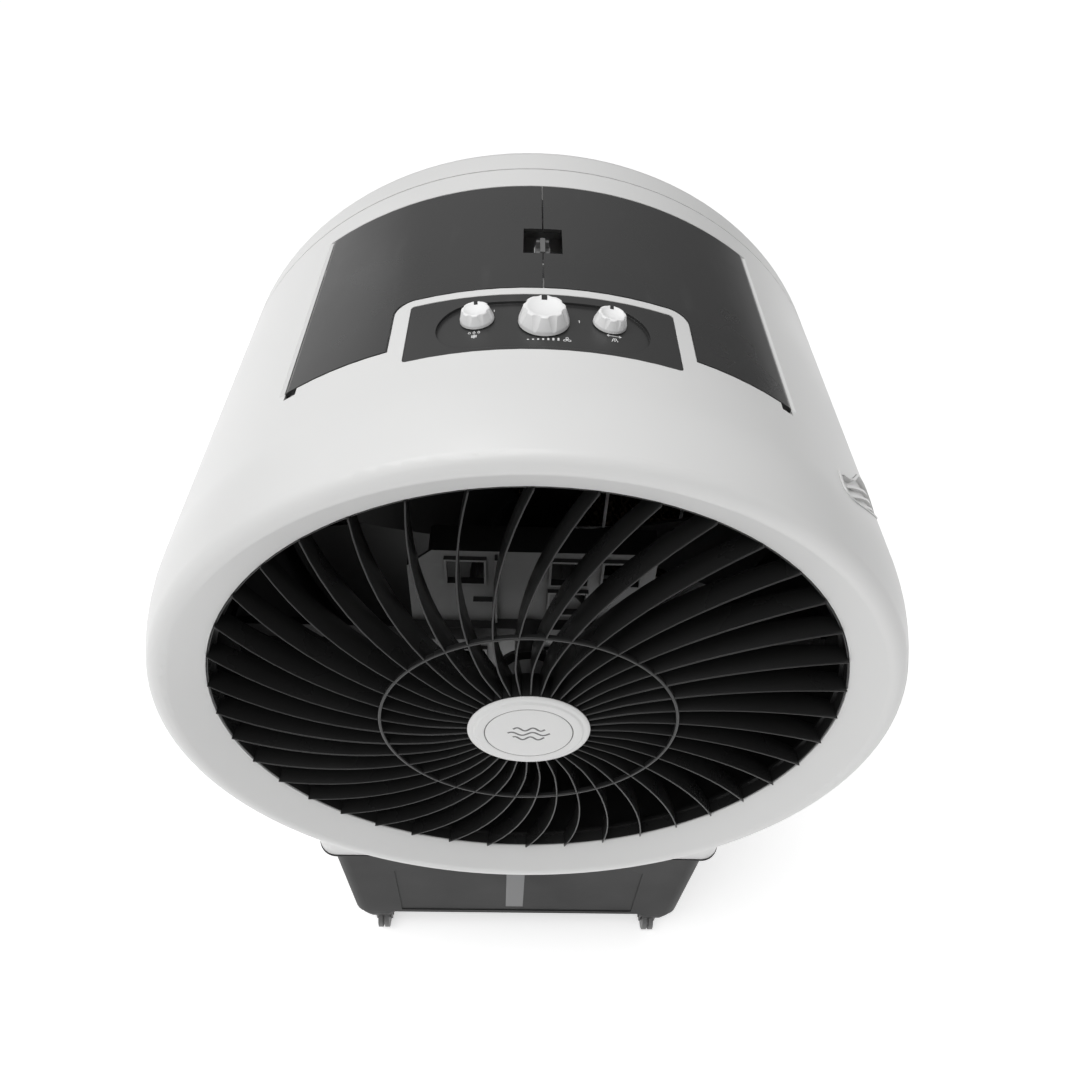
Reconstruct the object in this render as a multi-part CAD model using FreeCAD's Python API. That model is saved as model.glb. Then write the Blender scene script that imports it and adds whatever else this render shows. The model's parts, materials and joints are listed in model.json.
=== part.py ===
"""Drum-shaped evaporative room air cooler on a castered water tank.

Every shape is built in the drum's own frame: X to the right, Y from the air
outlet towards the back, Z up, with the centre of the outlet opening at zero.
save() moves it to the object's frame, whose origin is on the floor under the
middle of the object. All lengths are millimetres.
"""
import FreeCAD, Part
import math
import os

os.makedirs("parts", exist_ok=True)
V = FreeCAD.Vector

# ---- driving dimensions ---------------------------------------------------
AXIS_HEIGHT = 655.0        # drum axis above the floor
OPENING_R = 300.0          # air outlet
DRUM_R = 356.5
WALL = 3.0
RIM_R = 334.7              # circle through the middle of the rolled front rim
RIM_TUBE = 12.4
RIM_Y = -8.8
SHOULDER_Y = 45.0          # where the rim's shoulder meets the straight drum
SEAM_Y = 392.0             # joint between the front and rear shells
REAR_Y = 445.0
FRONT_MOST = -22.5         # face of the hub cap
SCREW_HEAD = 1.2
REAR_MOST = REAR_Y + SCREW_HEAD
MIDDLE_Y = (FRONT_MOST + REAR_MOST) / 2
REAR_SCREWS = 8
REAR_SCREW_R = 334.0

# Outline of the raised-and-sunk detail on the right side: (distance round the
# drum from its top, Y), from its blunt front end round to its pointed tail.
RELIEF_FRONT = [(262.0, 50.0), (267.0, 42.0), (275.0, 40.5), (292.0, 46.0), (315.0, 57.0), (345.0, 76.0),
                (375.0, 100.0), (394.0, 124.0)]
RELIEF_REAR = [(372.0, 129.0), (345.0, 124.0), (320.0, 109.0), (306.0, 94.0), (292.0, 80.0), (276.0, 69.0),
               (263.0, 66.0)]
RELIEF_MIDDLE = 327.0      # distance round the drum that is laid flat at the top
RELIEF_DEPTH = 3.6

LID_X = 204.5              # half width of the lid opening
LID_Y1, LID_Y2 = 105.0, 355.0
LID_GAP = 1.5
LID_CORNER = 1.6
HINGE_GAP = 1.2            # between a lid's rolled edge and the shell
HINGE_STEP_Z, HINGE_STEP_X = 289.7, 3.2   # step in the shell's edge that an opened lid swings over
FRAME_X, FRAME_Y = 118.4, 171.0   # white frame round the control panel
FRAME_CORNER = 16.0
BARREL_R = 6.0             # rolled outer edge of a lid, round its pins
PIN_R = 2.5
PIN_SPANS = ((LID_Y1 - 14, LID_Y1 + 16), (LID_Y2 - 16, LID_Y2 + 7))
NOTCH_X, NOTCH_Y1, NOTCH_Y2 = 16.7, 227.0, 270.0
TRAY_FLOOR_R = 312.0

PANEL_X, PANEL_Y1, PANEL_Y2 = 105.4, 86.0, 162.0
PANEL_TOP_R = 356.2
PANEL_THICK = 5.0
DISH_DEPTH = 2.5
SIDE_KNOB_Y, MAIN_KNOB_Y = 131.0, 125.4
SIDE_KNOB_ANGLE = 8.3
SIDE_KNOB_R, MAIN_KNOB_R = 13.4, 19.7
SIDE_KNOB_HEIGHT, MAIN_KNOB_HEIGHT = 10.0, 13.8
DISH_MIDDLE_Y = 121.0
DISH_END_R = 31.0
SWITCH_TOP = PANEL_TOP_R - PANEL_THICK - 0.5
KNOB_BASE = PANEL_TOP_R - DISH_DEPTH + 0.8
SWITCH_SHAFT_R = 3.0

VANE_COUNT = 40
VANE_SWEEP = 17.0          # degrees that a vane trails from hub to tip
VANE_THICK = 2.4
VANE_TIP_R = 299.2
LOUVRE_HUB_R = 57.0
LOUVRE_RING_R = 141.0
LOUVRE_SHAFT_R = 3.5
CAP_R = 58.5
CAP_BACK_Y = -18.2
SWING_MOTOR_Y1, SWING_MOTOR_Y2 = 24.0, 46.0

SHROUD_R = 303.5
SHROUD_END_Y = 300.0
BAR_Y1, BAR_Y2 = 94.0, 104.0      # cross frame that carries both motors
CRADLE_X1, CRADLE_X2 = -122.0, 122.0
CRADLE_Z1, CRADLE_Z2 = -85.0, 112.0
CRADLE_RIB_X = -35.0
FAN_TIP_R = 296.0
FAN_BLADES = 5
FAN_MID_Y = 238.0
MOTOR_R = 62.0
MOTOR_Y1, MOTOR_Y2 = BAR_Y2 + 7.0, 198.0
SHAFT_R = 6.0
RUNNING = 0.05             # radial clearance of a running shaft

PAD_R = 316.0
PAD_Y1, PAD_Y2 = 352.0, 410.0
HOSE_R = 6.0
HOSE_X, HOSE_Y = 60.0, 372.0
HOSE_WALL_R = 337.0        # radius at which the hose follows the shell
HOSE_BEND = 30.0
TROUGH_ANGLE = 30.0
TROUGH_Y1, TROUGH_Y2 = 356.0, 390.0
PUMP_X1, PUMP_X2 = 35.0, 85.0
PUMP_Y1, PUMP_Y2 = 348.0, 396.0
PUMP_BOTTOM, PUMP_TOP = -566.0, -505.0
IMPELLER_R = 16.0

TANK_TOP, TANK_BOTTOM = -385.0, -583.0
TANK_X_TOP, TANK_X_BOTTOM = 247.0, 239.5
TANK_Y1, TANK_Y2 = 21.0, 410.0
TANK_CORNER = 21.0
RECESS_DEPTH = 1.2         # field pressed into the tank's face
COLLAR_X, COLLAR_Y1, COLLAR_Y2 = 262.0, 20.0, 417.0
COLLAR_CORNER = 24.0
COLLAR_TOP, COLLAR_BOTTOM = -240.0, -382.0
GLAND_XZ = (-170.0, -364.0)
GLAND_R = 9.0
DRAIN_XZ = (120.0, -556.0)
DRAIN_R = 11.0
VALVE_XZ = (-120.0, -440.0)
VALVE_R = 8.0
NIPPLE_R, NIPPLE_LENGTH = 5.0, 26.0
ARM_PIVOT_Y = 376.0
ARM_PIN_R = 2.0
ARM_LENGTH = 108.0
ARM_DROP = 32.0            # degrees that the float's arm hangs at rest
FLOAT_R = 27.0
POD_BOTTOM = -610.0
POD_X, POD_LENGTH = 174.0, 92.0    # inner face of a foot block, and its length along Y
LEDGE_X, LEDGE_Z = 134.0, -594.0   # shallow step beside a foot block
CASTER_X, CASTER_Y = 200.0, 58.0
CASTER_TRAIL = 20.0
SOCKET_R, STEM_R, AXLE_R = 8.5, 5.5, 3.0
WHEEL_R = 20.0
WHEEL_WIDTH = 16.0
AXLE_Z = WHEEL_R - AXIS_HEIGHT
WINDOW_X1, WINDOW_X2 = -17.0, 8.0
WINDOW_Z1, WINDOW_Z2 = -561.0, -404.0

AXIS_Y = V(0, 1, 0)
ORIGIN = V(0, 0, 0)


# ---- building blocks ------------------------------------------------------
def save(name, shape):
    """Move a finished shape to the object's frame and write it."""
    placed = shape.copy()
    placed.translate(V(0, -MIDDLE_Y, AXIS_HEIGHT))
    placed.exportStep("parts/" + name + ".step")
    solids = len(placed.Solids)
    print(f"{name:22s} solids {solids:3d}  valid {placed.isValid()}  volume {placed.Volume / 1000:9.1f} cm3")


def box(x1, x2, y1, y2, z1, z2):
    return Part.makeBox(x2 - x1, y2 - y1, z2 - z1, V(x1, y1, z1))


def cyl_x(r, x1, x2, y, z):
    return Part.makeCylinder(r, x2 - x1, V(x1, y, z), V(1, 0, 0))


def cyl_y(r, y1, y2, x=0.0, z=0.0):
    return Part.makeCylinder(r, y2 - y1, V(x, y1, z), AXIS_Y)


def cyl_z(r, z1, z2, x, y):
    return Part.makeCylinder(r, z2 - z1, V(x, y, z1), V(0, 0, 1))


def ring_y(r1, r2, y1, y2, x=0.0, z=0.0):
    return cyl_y(r2, y1, y2, x, z).cut(cyl_y(r1, y1, y2, x, z))


def fuse_all(shapes):
    first = shapes[0]
    if len(shapes) > 1:
        first = first.multiFuse(shapes[1:])
    return first.removeSplitter()


def group(shapes):
    """Separate identical pieces that share one node."""
    return Part.makeCompound(shapes)


def line(a, b):
    return Part.LineSegment(a, b).toShape()


def arc(a, middle, b):
    return Part.Arc(a, middle, b).toShape()


def at(r, y):
    """Point of a turned profile: radius along X, depth along Y."""
    return V(r, y, 0)


def turned(edges):
    """Solid of revolution about the drum axis from a closed profile."""
    face = Part.Face(Part.Wire(edges))
    return face.revolve(ORIGIN, AXIS_Y, 360)


def polyline_edges(points):
    closed = points + [points[0]]
    return [line(closed[i], closed[i + 1]) for i in range(len(points))]


def prism(points, direction):
    """Extrude a closed polygon along a vector."""
    return Part.Face(Part.Wire(polyline_edges(points))).extrude(direction)


def rounded_rect(x1, x2, y1, y2, z, corner):
    """Closed wire of a rounded rectangle in a plane of constant Z."""
    k = corner * (1 - math.sqrt(0.5))
    edges = [
        line(V(x1 + corner, y1, z), V(x2 - corner, y1, z)),
        arc(V(x2 - corner, y1, z), V(x2 - k, y1 + k, z), V(x2, y1 + corner, z)),
        line(V(x2, y1 + corner, z), V(x2, y2 - corner, z)),
        arc(V(x2, y2 - corner, z), V(x2 - k, y2 - k, z), V(x2 - corner, y2, z)),
        line(V(x2 - corner, y2, z), V(x1 + corner, y2, z)),
        arc(V(x1 + corner, y2, z), V(x1 + k, y2 - k, z), V(x1, y2 - corner, z)),
        line(V(x1, y2 - corner, z), V(x1, y1 + corner, z)),
        arc(V(x1, y1 + corner, z), V(x1 + k, y1 + k, z), V(x1 + corner, y1, z)),
    ]
    return Part.Wire(edges)


def rounded_block(x1, x2, y1, y2, z1, z2, corner):
    face = Part.Face(rounded_rect(x1, x2, y1, y2, z1, corner))
    return face.extrude(V(0, 0, z2 - z1))


def tapered_block(low, high, corner):
    """Loft from one rounded rectangle (x1, x2, y1, y2, z) to another."""
    return Part.makeLoft([rounded_rect(*low, corner), rounded_rect(*high, corner)], True, True)


def about_drum(shape, degrees):
    """Turn a shape made at the top of the drum to its angle, clockwise from the front."""
    turned_shape = shape.copy()
    turned_shape.rotate(ORIGIN, AXIS_Y, degrees)
    return turned_shape


def sector(r1, r2, y1, y2, half_angle):
    """Piece of a ring, centred on the top of the drum."""
    face = Part.Face(Part.Wire(polyline_edges([V(r1, y1, 0), V(r2, y1, 0), V(r2, y2, 0), V(r1, y2, 0)])))
    piece = face.revolve(ORIGIN, AXIS_Y, 2 * half_angle)
    piece.rotate(ORIGIN, AXIS_Y, -90 - half_angle)
    return piece


def mirrored(shape):
    return shape.mirror(ORIGIN, V(1, 0, 0))


# ---- shell ----------------------------------------------------------------
def lid_region(grow):
    """Tall block over both lids: a rectangle less the frame round the panel."""
    outer = rounded_block(-LID_X - grow, LID_X + grow, LID_Y1 - grow, LID_Y2 + grow, 150, 420, LID_CORNER)
    frame = rounded_block(grow - FRAME_X, FRAME_X - grow, 40, FRAME_Y - grow, 140, 430, FRAME_CORNER)
    return outer.cut(frame)


def panel_region(shrink, z1=300, z2=420):
    return rounded_block(shrink - PANEL_X, PANEL_X - shrink, PANEL_Y1 + shrink, PANEL_Y2 - shrink, z1, z2, 3.5)


def hinge_axis():
    """X and Z of a lid's pins, right-hand side."""
    x = LID_X - BARREL_R - HINGE_GAP
    r = DRUM_R - BARREL_R
    return x, math.sqrt(r * r - x * x)


def shell_profile():
    """Turned outline: opening edge, funnel, rolled rim, shoulder, drum, spigot."""
    reach_r = RIM_R - OPENING_R
    funnel = math.atan2(RIM_Y, reach_r) - math.asin(RIM_TUBE / math.hypot(reach_r, RIM_Y))
    touch = funnel - math.pi / 2
    rise = DRUM_R - RIM_R
    run = SHOULDER_Y - RIM_Y
    shoulder_r = (rise ** 2 + run ** 2 - RIM_TUBE ** 2) / (2 * (rise - RIM_TUBE))
    leave = -math.atan2(run, shoulder_r - rise)

    def rim(angle, tube):
        return at(RIM_R + tube * math.cos(angle), RIM_Y + tube * math.sin(angle))

    def shoulder(angle, radius):
        return at(DRUM_R - shoulder_r + radius * math.cos(angle), SHOULDER_Y + radius * math.sin(angle))

    inner_tube = RIM_TUBE - WALL
    inner_shoulder = shoulder_r - WALL
    back = rim(touch, inner_tube)
    lip_r = OPENING_R + WALL
    lip_y = back.y - (back.x - lip_r) * math.tan(funnel)
    crest = (touch + leave) / 2
    spigot_r = DRUM_R - WALL - 0.3
    spigot_in = spigot_r - 2.6
    return [
        line(at(OPENING_R, 0), rim(touch, RIM_TUBE)),
        arc(rim(touch, RIM_TUBE), rim(crest, RIM_TUBE), rim(leave, RIM_TUBE)),
        arc(rim(leave, RIM_TUBE), shoulder(leave / 2, shoulder_r), at(DRUM_R, SHOULDER_Y)),
        line(at(DRUM_R, SHOULDER_Y), at(DRUM_R, SEAM_Y - 0.8)),
        line(at(DRUM_R, SEAM_Y - 0.8), at(spigot_r, SEAM_Y - 0.8)),
        line(at(spigot_r, SEAM_Y - 0.8), at(spigot_r, SEAM_Y + 9)),
        line(at(spigot_r, SEAM_Y + 9), at(spigot_in, SEAM_Y + 9)),
        line(at(spigot_in, SEAM_Y + 9), at(spigot_in, SEAM_Y - 12)),
        line(at(spigot_in, SEAM_Y - 12), at(DRUM_R - WALL, SEAM_Y - 12)),
        line(at(DRUM_R - WALL, SEAM_Y - 12), at(DRUM_R - WALL, SHOULDER_Y)),
        arc(at(DRUM_R - WALL, SHOULDER_Y), shoulder(leave / 2, inner_shoulder), rim(leave, inner_tube)),
        arc(rim(leave, inner_tube), rim(crest, inner_tube), back),
        line(back, at(lip_r, lip_y)),
        line(at(lip_r, lip_y), at(lip_r, 14)),
        line(at(lip_r, 14), at(OPENING_R, 14)),
        line(at(OPENING_R, 14), at(OPENING_R, 0)),
    ]


def hinge_lug(y1, y2):
    """Block under the skin that holds one end of a lid's pin."""
    x, z = hinge_axis()
    block = box(x - 7, x + 7, y1, y2, z - 8, z + 14)
    block = block.common(cyl_y(DRUM_R - 1, y1, y2))
    return block.cut(cyl_y(PIN_R + RUNNING, y1, y2, x, z))


def relief_block(shrink, z1, z2):
    """The side detail's outline as a tall block, made at the top and turned down."""
    centre = V(0, 80, 0)

    def flat(points):
        out = []
        for along, y in points:
            p = V(along - RELIEF_MIDDLE, y, 0)
            inward = centre - p
            out.append(p + inward.normalize() * shrink + V(0, 0, z1))
        return out

    front, rear = flat(RELIEF_FRONT), flat(RELIEF_REAR)
    edges = []
    for points in (front, rear):
        curve = Part.BSplineCurve()
        curve.interpolate(points)
        edges.append(curve.toShape())
    edges += [line(front[-1], rear[0]), line(rear[-1], front[0])]
    block = Part.Face(Part.Wire(Part.__sortEdges__(edges))).extrude(V(0, 0, z2 - z1))
    return about_drum(block, math.degrees(RELIEF_MIDDLE / DRUM_R))


def relief_rib(offset):
    """One slanting rib across the sunk field, following the long axis."""
    rib = box(-62, 56, -1.3, 1.3, DRUM_R - RELIEF_DEPTH - 1, DRUM_R - 0.5)
    rib.rotate(ORIGIN, V(0, 0, 1), 36)
    rib.translate(V(0, 82 + offset, 0))
    return about_drum(rib, math.degrees(RELIEF_MIDDLE / DRUM_R))


def side_relief():
    """Shallow moulded detail on the right side: a lip, a sunk field and ribs."""
    under = DRUM_R - WALL - RELIEF_DEPTH
    skin = ring_y(under, DRUM_R + 0.9, 20, 160).common(relief_block(0.5, 280, 420))
    flange = ring_y(under, DRUM_R - WALL - 0.1, SHOULDER_Y + 1, 160).common(relief_block(-5, 270, 430))
    field = ring_y(DRUM_R - RELIEF_DEPTH, DRUM_R + 5, 10, 170).common(relief_block(3.2, 270, 430))
    plate = skin.fuse(flange).cut(field)
    inside = ring_y(DRUM_R - RELIEF_DEPTH - 1, DRUM_R - 0.5, 20, 160).common(relief_block(2.5, 270, 430))
    ribs = [relief_rib(offset).common(inside) for offset in (-9, 2, 13)]
    return fuse_all([plate] + ribs)


def front_shell():
    shell = turned(shell_profile())
    shell = shell.cut(lid_region(0))
    shell = shell.cut(panel_region(0))
    shell = shell.cut(relief_block(0, 280, 420))
    shell = shell.cut(box(-90, 110, 350, 386, -400, -300))
    x, z = hinge_axis()
    slot = box(x - 5, x + 5, LID_Y1 - 8, LID_Y1 + 2, z - 2, z + 20)
    step = box(LID_X - 1, LID_X + HINGE_STEP_X, LID_Y1, LID_Y2, HINGE_STEP_Z, HINGE_STEP_Z + 12)
    shell = shell.cut(group([slot, mirrored(slot), step, mirrored(step)]))
    lugs = [hinge_lug(LID_Y1 - 15, LID_Y1 - 8), hinge_lug(LID_Y2 + 1, LID_Y2 + 8)]
    lugs += [mirrored(lug) for lug in lugs]
    return fuse_all([shell] + lugs)


def screw_angles(count):
    return [360.0 / count * (i + 0.5) for i in range(count)]


def rear_shell():
    bend = 20.0
    lip_in, lip_out = 330.0, 332.0
    outer, inner = DRUM_R, DRUM_R - WALL
    centre_r, centre_y = DRUM_R - bend, REAR_Y - bend
    diagonal = math.sqrt(0.5)

    def corner(radius):
        return at(centre_r + radius * diagonal, centre_y + radius * diagonal)

    profile = [
        line(at(outer, SEAM_Y + 0.8), at(outer, centre_y)),
        arc(at(outer, centre_y), corner(bend), at(centre_r, REAR_Y)),
        line(at(centre_r, REAR_Y), at(lip_in, REAR_Y)),
        line(at(lip_in, REAR_Y), at(lip_in, REAR_Y - 15)),
        line(at(lip_in, REAR_Y - 15), at(lip_out, REAR_Y - 15)),
        line(at(lip_out, REAR_Y - 15), at(lip_out, REAR_Y - WALL)),
        line(at(lip_out, REAR_Y - WALL), at(centre_r, REAR_Y - WALL)),
        arc(at(centre_r, REAR_Y - WALL), corner(bend - WALL), at(inner, centre_y)),
        line(at(inner, centre_y), at(inner, SEAM_Y + 0.8)),
        line(at(inner, SEAM_Y + 0.8), at(outer, SEAM_Y + 0.8)),
    ]
    shell = turned(profile)
    holes = [about_drum(cyl_y(1.5, REAR_Y - WALL, REAR_Y, 0, REAR_SCREW_R), a) for a in screw_angles(REAR_SCREWS)]
    return shell.cut(group(holes))


def cord_gland():
    """Inlet bush of the mains lead, through the back wall of the collar."""
    x, z = GLAND_XZ
    inner_face, outer_face = COLLAR_Y2 - WALL, COLLAR_Y2
    barrel = cyl_y(GLAND_R, inner_face, outer_face, x, z)
    flange = cyl_y(12, inner_face - 3, inner_face, x, z)
    nose = Part.makeCone(12, 9.5, 7, V(x, outer_face, z), AXIS_Y)
    bush = fuse_all([barrel, flange, nose])
    return bush.cut(cyl_y(3.6, inner_face - 5, outer_face + 9, x, z))


def case_screws():
    def screw():
        head = cyl_y(3.0, REAR_Y, REAR_Y + SCREW_HEAD, 0, REAR_SCREW_R)
        head = head.cut(box(-2.4, 2.4, REAR_Y + 0.6, REAR_Y + 2, REAR_SCREW_R - 0.4, REAR_SCREW_R + 0.4))
        shank = cyl_y(1.5, REAR_Y - WALL, REAR_Y, 0, REAR_SCREW_R)
        return fuse_all([head, shank])
    return group([about_drum(screw(), a) for a in screw_angles(REAR_SCREWS)])


def rear_grille():
    """Ring with level bars and three upright ribs."""
    outer, inner = 329.6, 321.0
    y1, y2 = REAR_Y - 12, REAR_Y - 2
    pitch = 15.5
    bars = []
    rows = int(inner / pitch)
    for i in range(-rows, rows + 1):
        z = i * pitch
        half = math.sqrt(outer ** 2 - z ** 2) - 3
        bars.append(box(-half, half, y1 + 1, y2 - 1, z - 1.5, z + 1.5))
    for x in (-160.0, 0.0, 160.0):
        half = math.sqrt(outer ** 2 - x ** 2) - 3
        bars.append(box(x - 2.5, x + 2.5, y1, y2 - 2, -half, half))
    return fuse_all([ring_y(inner, outer, y1, y2)] + bars)


# ---- lids -----------------------------------------------------------------
def lid_right():
    x, z = hinge_axis()
    edge_x = DRUM_R * x / (DRUM_R - BARREL_R)
    skin = ring_y(DRUM_R - WALL, DRUM_R, LID_Y1, LID_Y2).common(lid_region(-LID_GAP))
    skin = skin.common(box(0.6, edge_x, LID_Y1, LID_Y2, 0, 400))
    barrel = cyl_y(BARREL_R, LID_Y1 + LID_GAP, LID_Y2 - LID_GAP, x, z)
    lid = fuse_all([skin, barrel])
    lid = lid.cut(box(-NOTCH_X, NOTCH_X, NOTCH_Y1, NOTCH_Y2, 300, 400))
    return lid.cut(group([pin_solid(*span, x, z) for span in PIN_SPANS]))


def pin_solid(y1, y2, x, z):
    return cyl_y(PIN_R, y1, y2, x, z)


def lid_pins_right():
    x, z = hinge_axis()
    return group([pin_solid(*span, x, z) for span in PIN_SPANS])


def ice_tray():
    """Curved ice and filling tray under the lids, with the ledge they close on."""
    wall = 2.5
    r_top = 350.0
    body = ring_y(TRAY_FLOOR_R, r_top, LID_Y1, LID_Y2).common(lid_region(-18.5))
    hollow = ring_y(TRAY_FLOOR_R + wall, 380, LID_Y1, LID_Y2).common(lid_region(-18.5 - wall))
    x_barrel = LID_X - 2 * BARREL_R - HINGE_GAP - 2
    ledge = ring_y(r_top - 2.5, DRUM_R - WALL - 0.6, 60, 390).common(lid_region(6.5))
    ledge = ledge.common(box(-x_barrel, x_barrel, 60, 390, 0, 400)).cut(lid_region(-18.5 - wall))
    post = box(-7, 7, 234, 264, TRAY_FLOOR_R + 1, 342)
    tray = fuse_all([body.cut(hollow), ledge, post])
    hole = cyl_z(5, 200, 340, 0, 0)
    holes = []
    for sx in (-1, 1):
        for y in (200.0, 320.0):
            drain = hole.copy()
            drain.translate(V(sx * 165.0, y, 0))
            holes.append(drain)
    return tray.cut(group(holes))


def lid_catch():
    """Light catch on the tray's post, seen in the finger notch between the lids."""
    stem = box(-2.2, 2.2, 238, 262, 342, 352)
    bar_front = box(-5.5, 5.5, 238, 242, 342, 350)
    bar_rear = box(-5.5, 5.5, 258, 262, 342, 350)
    foot = box(-6.5, 6.5, 236, 264, 342, 344)
    return fuse_all([stem, bar_front, bar_rear, foot])


# ---- control panel --------------------------------------------------------
def control_panel():
    plate = ring_y(PANEL_TOP_R - PANEL_THICK, PANEL_TOP_R, 60, 200).common(panel_region(0.4))
    end_x = DRUM_R * math.sin(math.radians(SIDE_KNOB_ANGLE))
    half = end_x + DISH_END_R
    middle = DISH_MIDDLE_Y
    dish = rounded_block(-half, half, middle - DISH_END_R, middle + DISH_END_R, 300, 400, DISH_END_R - 0.01)
    dish = dish.common(ring_y(PANEL_TOP_R - DISH_DEPTH, 380, 60, 200))
    plate = plate.cut(dish)
    places = ((-SIDE_KNOB_ANGLE, SIDE_KNOB_Y), (0.0, MAIN_KNOB_Y), (SIDE_KNOB_ANGLE, SIDE_KNOB_Y))
    return plate.cut(group([about_drum(cyl_z(3.4, 340, 380, 0, y), angle) for angle, y in places]))


def rotary_switch(half, angle, y):
    body = rounded_block(-half, half, y - half, y + half, SWITCH_TOP - 24, SWITCH_TOP - 6, 3)
    neck = cyl_z(5.5, SWITCH_TOP - 6, SWITCH_TOP - 0.3, 0, y)
    switch = fuse_all([body, neck])
    return about_drum(switch.cut(cyl_z(SWITCH_SHAFT_R + RUNNING, SWITCH_TOP - 18, 380, 0, y)), angle)


def switch_shaft(height, angle, y):
    return about_drum(cyl_z(SWITCH_SHAFT_R, SWITCH_TOP - 17, KNOB_BASE + height * 0.6, 0, y), angle)


def knob(radius, height, angle, y):
    """Tapered knob with eight scallops round the top, a dished face and a pointer slot."""
    top_r = radius * 0.83
    skirt = height * 0.22
    z0, z1 = KNOB_BASE, KNOB_BASE + height
    crown = 1.6
    profile = [
        line(V(0, 0, z0), V(radius, 0, z0)),
        line(V(radius, 0, z0), V(radius * 0.985, 0, z0 + skirt)),
        line(V(radius * 0.985, 0, z0 + skirt), V(top_r, 0, z1 - crown)),
        arc(V(top_r, 0, z1 - crown), V(top_r - crown * 0.3, 0, z1 - crown * 0.3), V(top_r - crown, 0, z1)),
        line(V(top_r - crown, 0, z1), V(top_r * 0.80, 0, z1)),
        arc(V(top_r * 0.80, 0, z1), V(top_r * 0.45, 0, z1 - 1.7), V(0, 0, z1 - 2.2)),
        line(V(0, 0, z1 - 2.2), V(0, 0, z0)),
    ]
    body = Part.Face(Part.Wire(profile)).revolve(ORIGIN, V(0, 0, 1), 360)
    scallop_r = radius * 0.36
    scallops = []
    for i in range(8):
        cutter = cyl_z(scallop_r, -height, height, 0, 0)
        cutter.rotate(ORIGIN, AXIS_Y, -24)
        cutter.translate(V(top_r + scallop_r * 0.80, 0, z1))
        cutter.rotate(ORIGIN, V(0, 0, 1), 45.0 * i + 22.5)
        scallops.append(cutter)
    body = body.cut(group(scallops))
    pointer = box(-radius * 0.11, radius * 0.11, top_r * 0.62, radius + 1, z1 - 3.2, z1 + 2)
    body = body.cut(pointer).cut(cyl_z(SWITCH_SHAFT_R, z0 - 1, z0 + height * 0.6, 0, 0))
    body.translate(V(0, y, 0))
    return about_drum(body, angle)


def capacitor():
    return fuse_all([cyl_y(12, 98, 146, 88, 317), cyl_y(3, 94, 98, 84, 317), cyl_y(3, 94, 98, 92, 317)])


# ---- louvre wheel ---------------------------------------------------------
def vane_front_y(r):
    """Front edge of a vane: a shallow dome, flat in the middle."""
    return -3.0 - 15.0 * (1 - (r / OPENING_R) ** 3)


def vane_angle(r):
    """Angle by which the vane trails at radius r, in radians."""
    start = 92.0
    share = max(0.0, (r - start) / (OPENING_R - start))
    return math.radians(VANE_SWEEP) * share


def vane_strip():
    """One curved vane as a tall strip along Y, starting straight down from the hub."""
    stations = [LOUVRE_HUB_R - 1, 92, 118, 155, 200, 250, VANE_TIP_R]

    def side(offset):
        points = []
        for r in stations:
            a = math.pi + vane_angle(r) + offset / r
            points.append(V(r * math.sin(a), -30, r * math.cos(a)))
        return points

    left, right = side(-VANE_THICK / 2), side(VANE_THICK / 2)
    edges = []
    for points in (left, right):
        curve = Part.BSplineCurve()
        curve.interpolate(points)
        edges.append(curve.toShape())
    edges.append(line(left[0], right[0]))
    edges.append(line(left[-1], right[-1]))
    face = Part.Face(Part.Wire(Part.__sortEdges__(edges)))
    return face.extrude(V(0, 60, 0))


def louvre_envelope():
    """Turned space that the vanes fill: domed front, flatter back."""
    stations = [0.0, 75.0, 150.0, 225.0, 300.0]
    front = [at(r, vane_front_y(r)) for r in stations]
    curve = Part.BSplineCurve()
    curve.interpolate(front)
    hub_back, tip_back = 6.0, 17.0
    edges = [
        curve.toShape(),
        line(front[-1], at(OPENING_R, tip_back)),
        line(at(OPENING_R, tip_back), at(0, hub_back)),
        line(at(0, hub_back), front[0]),
    ]
    return turned(edges)


def louvre_wheel():
    vane = vane_strip().common(louvre_envelope())
    vanes = [about_drum(vane, 360.0 / VANE_COUNT * i) for i in range(VANE_COUNT)]
    cup = cyl_y(LOUVRE_HUB_R, CAP_BACK_Y + 0.2, 8).cut(cyl_y(LOUVRE_HUB_R - 3, CAP_BACK_Y + 4, 9))
    boss = cyl_y(10, CAP_BACK_Y + 3, 14)
    ring_front = vane_front_y(LOUVRE_RING_R) - 0.2
    ring = ring_y(LOUVRE_RING_R - 1.8, LOUVRE_RING_R + 1.8, ring_front, ring_front + 5)
    outer_ring = ring_y(VANE_TIP_R - 5, VANE_TIP_R, 12.5, 16.5)
    wheel = cup.multiFuse([boss, ring, outer_ring] + vanes)
    return wheel.cut(cyl_y(LOUVRE_SHAFT_R, -10, 20))


def louvre_shaft():
    return cyl_y(LOUVRE_SHAFT_R, -10, 46)


def hub_cap():
    """Round cap with a bevelled, stepped rim and a fine ring on its face."""
    face_y = FRONT_MOST
    profile = polyline_edges([
        at(0, CAP_BACK_Y), at(CAP_R, CAP_BACK_Y), at(CAP_R, CAP_BACK_Y - 1.2), at(CAP_R - 2.2, CAP_BACK_Y - 2.6),
        at(CAP_R - 6.0, CAP_BACK_Y - 2.6), at(CAP_R - 8.0, face_y), at(0, face_y)])
    cap = turned(profile)
    return cap.cut(ring_y(41.6, 42.4, face_y - 1, face_y + 0.4))


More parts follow.
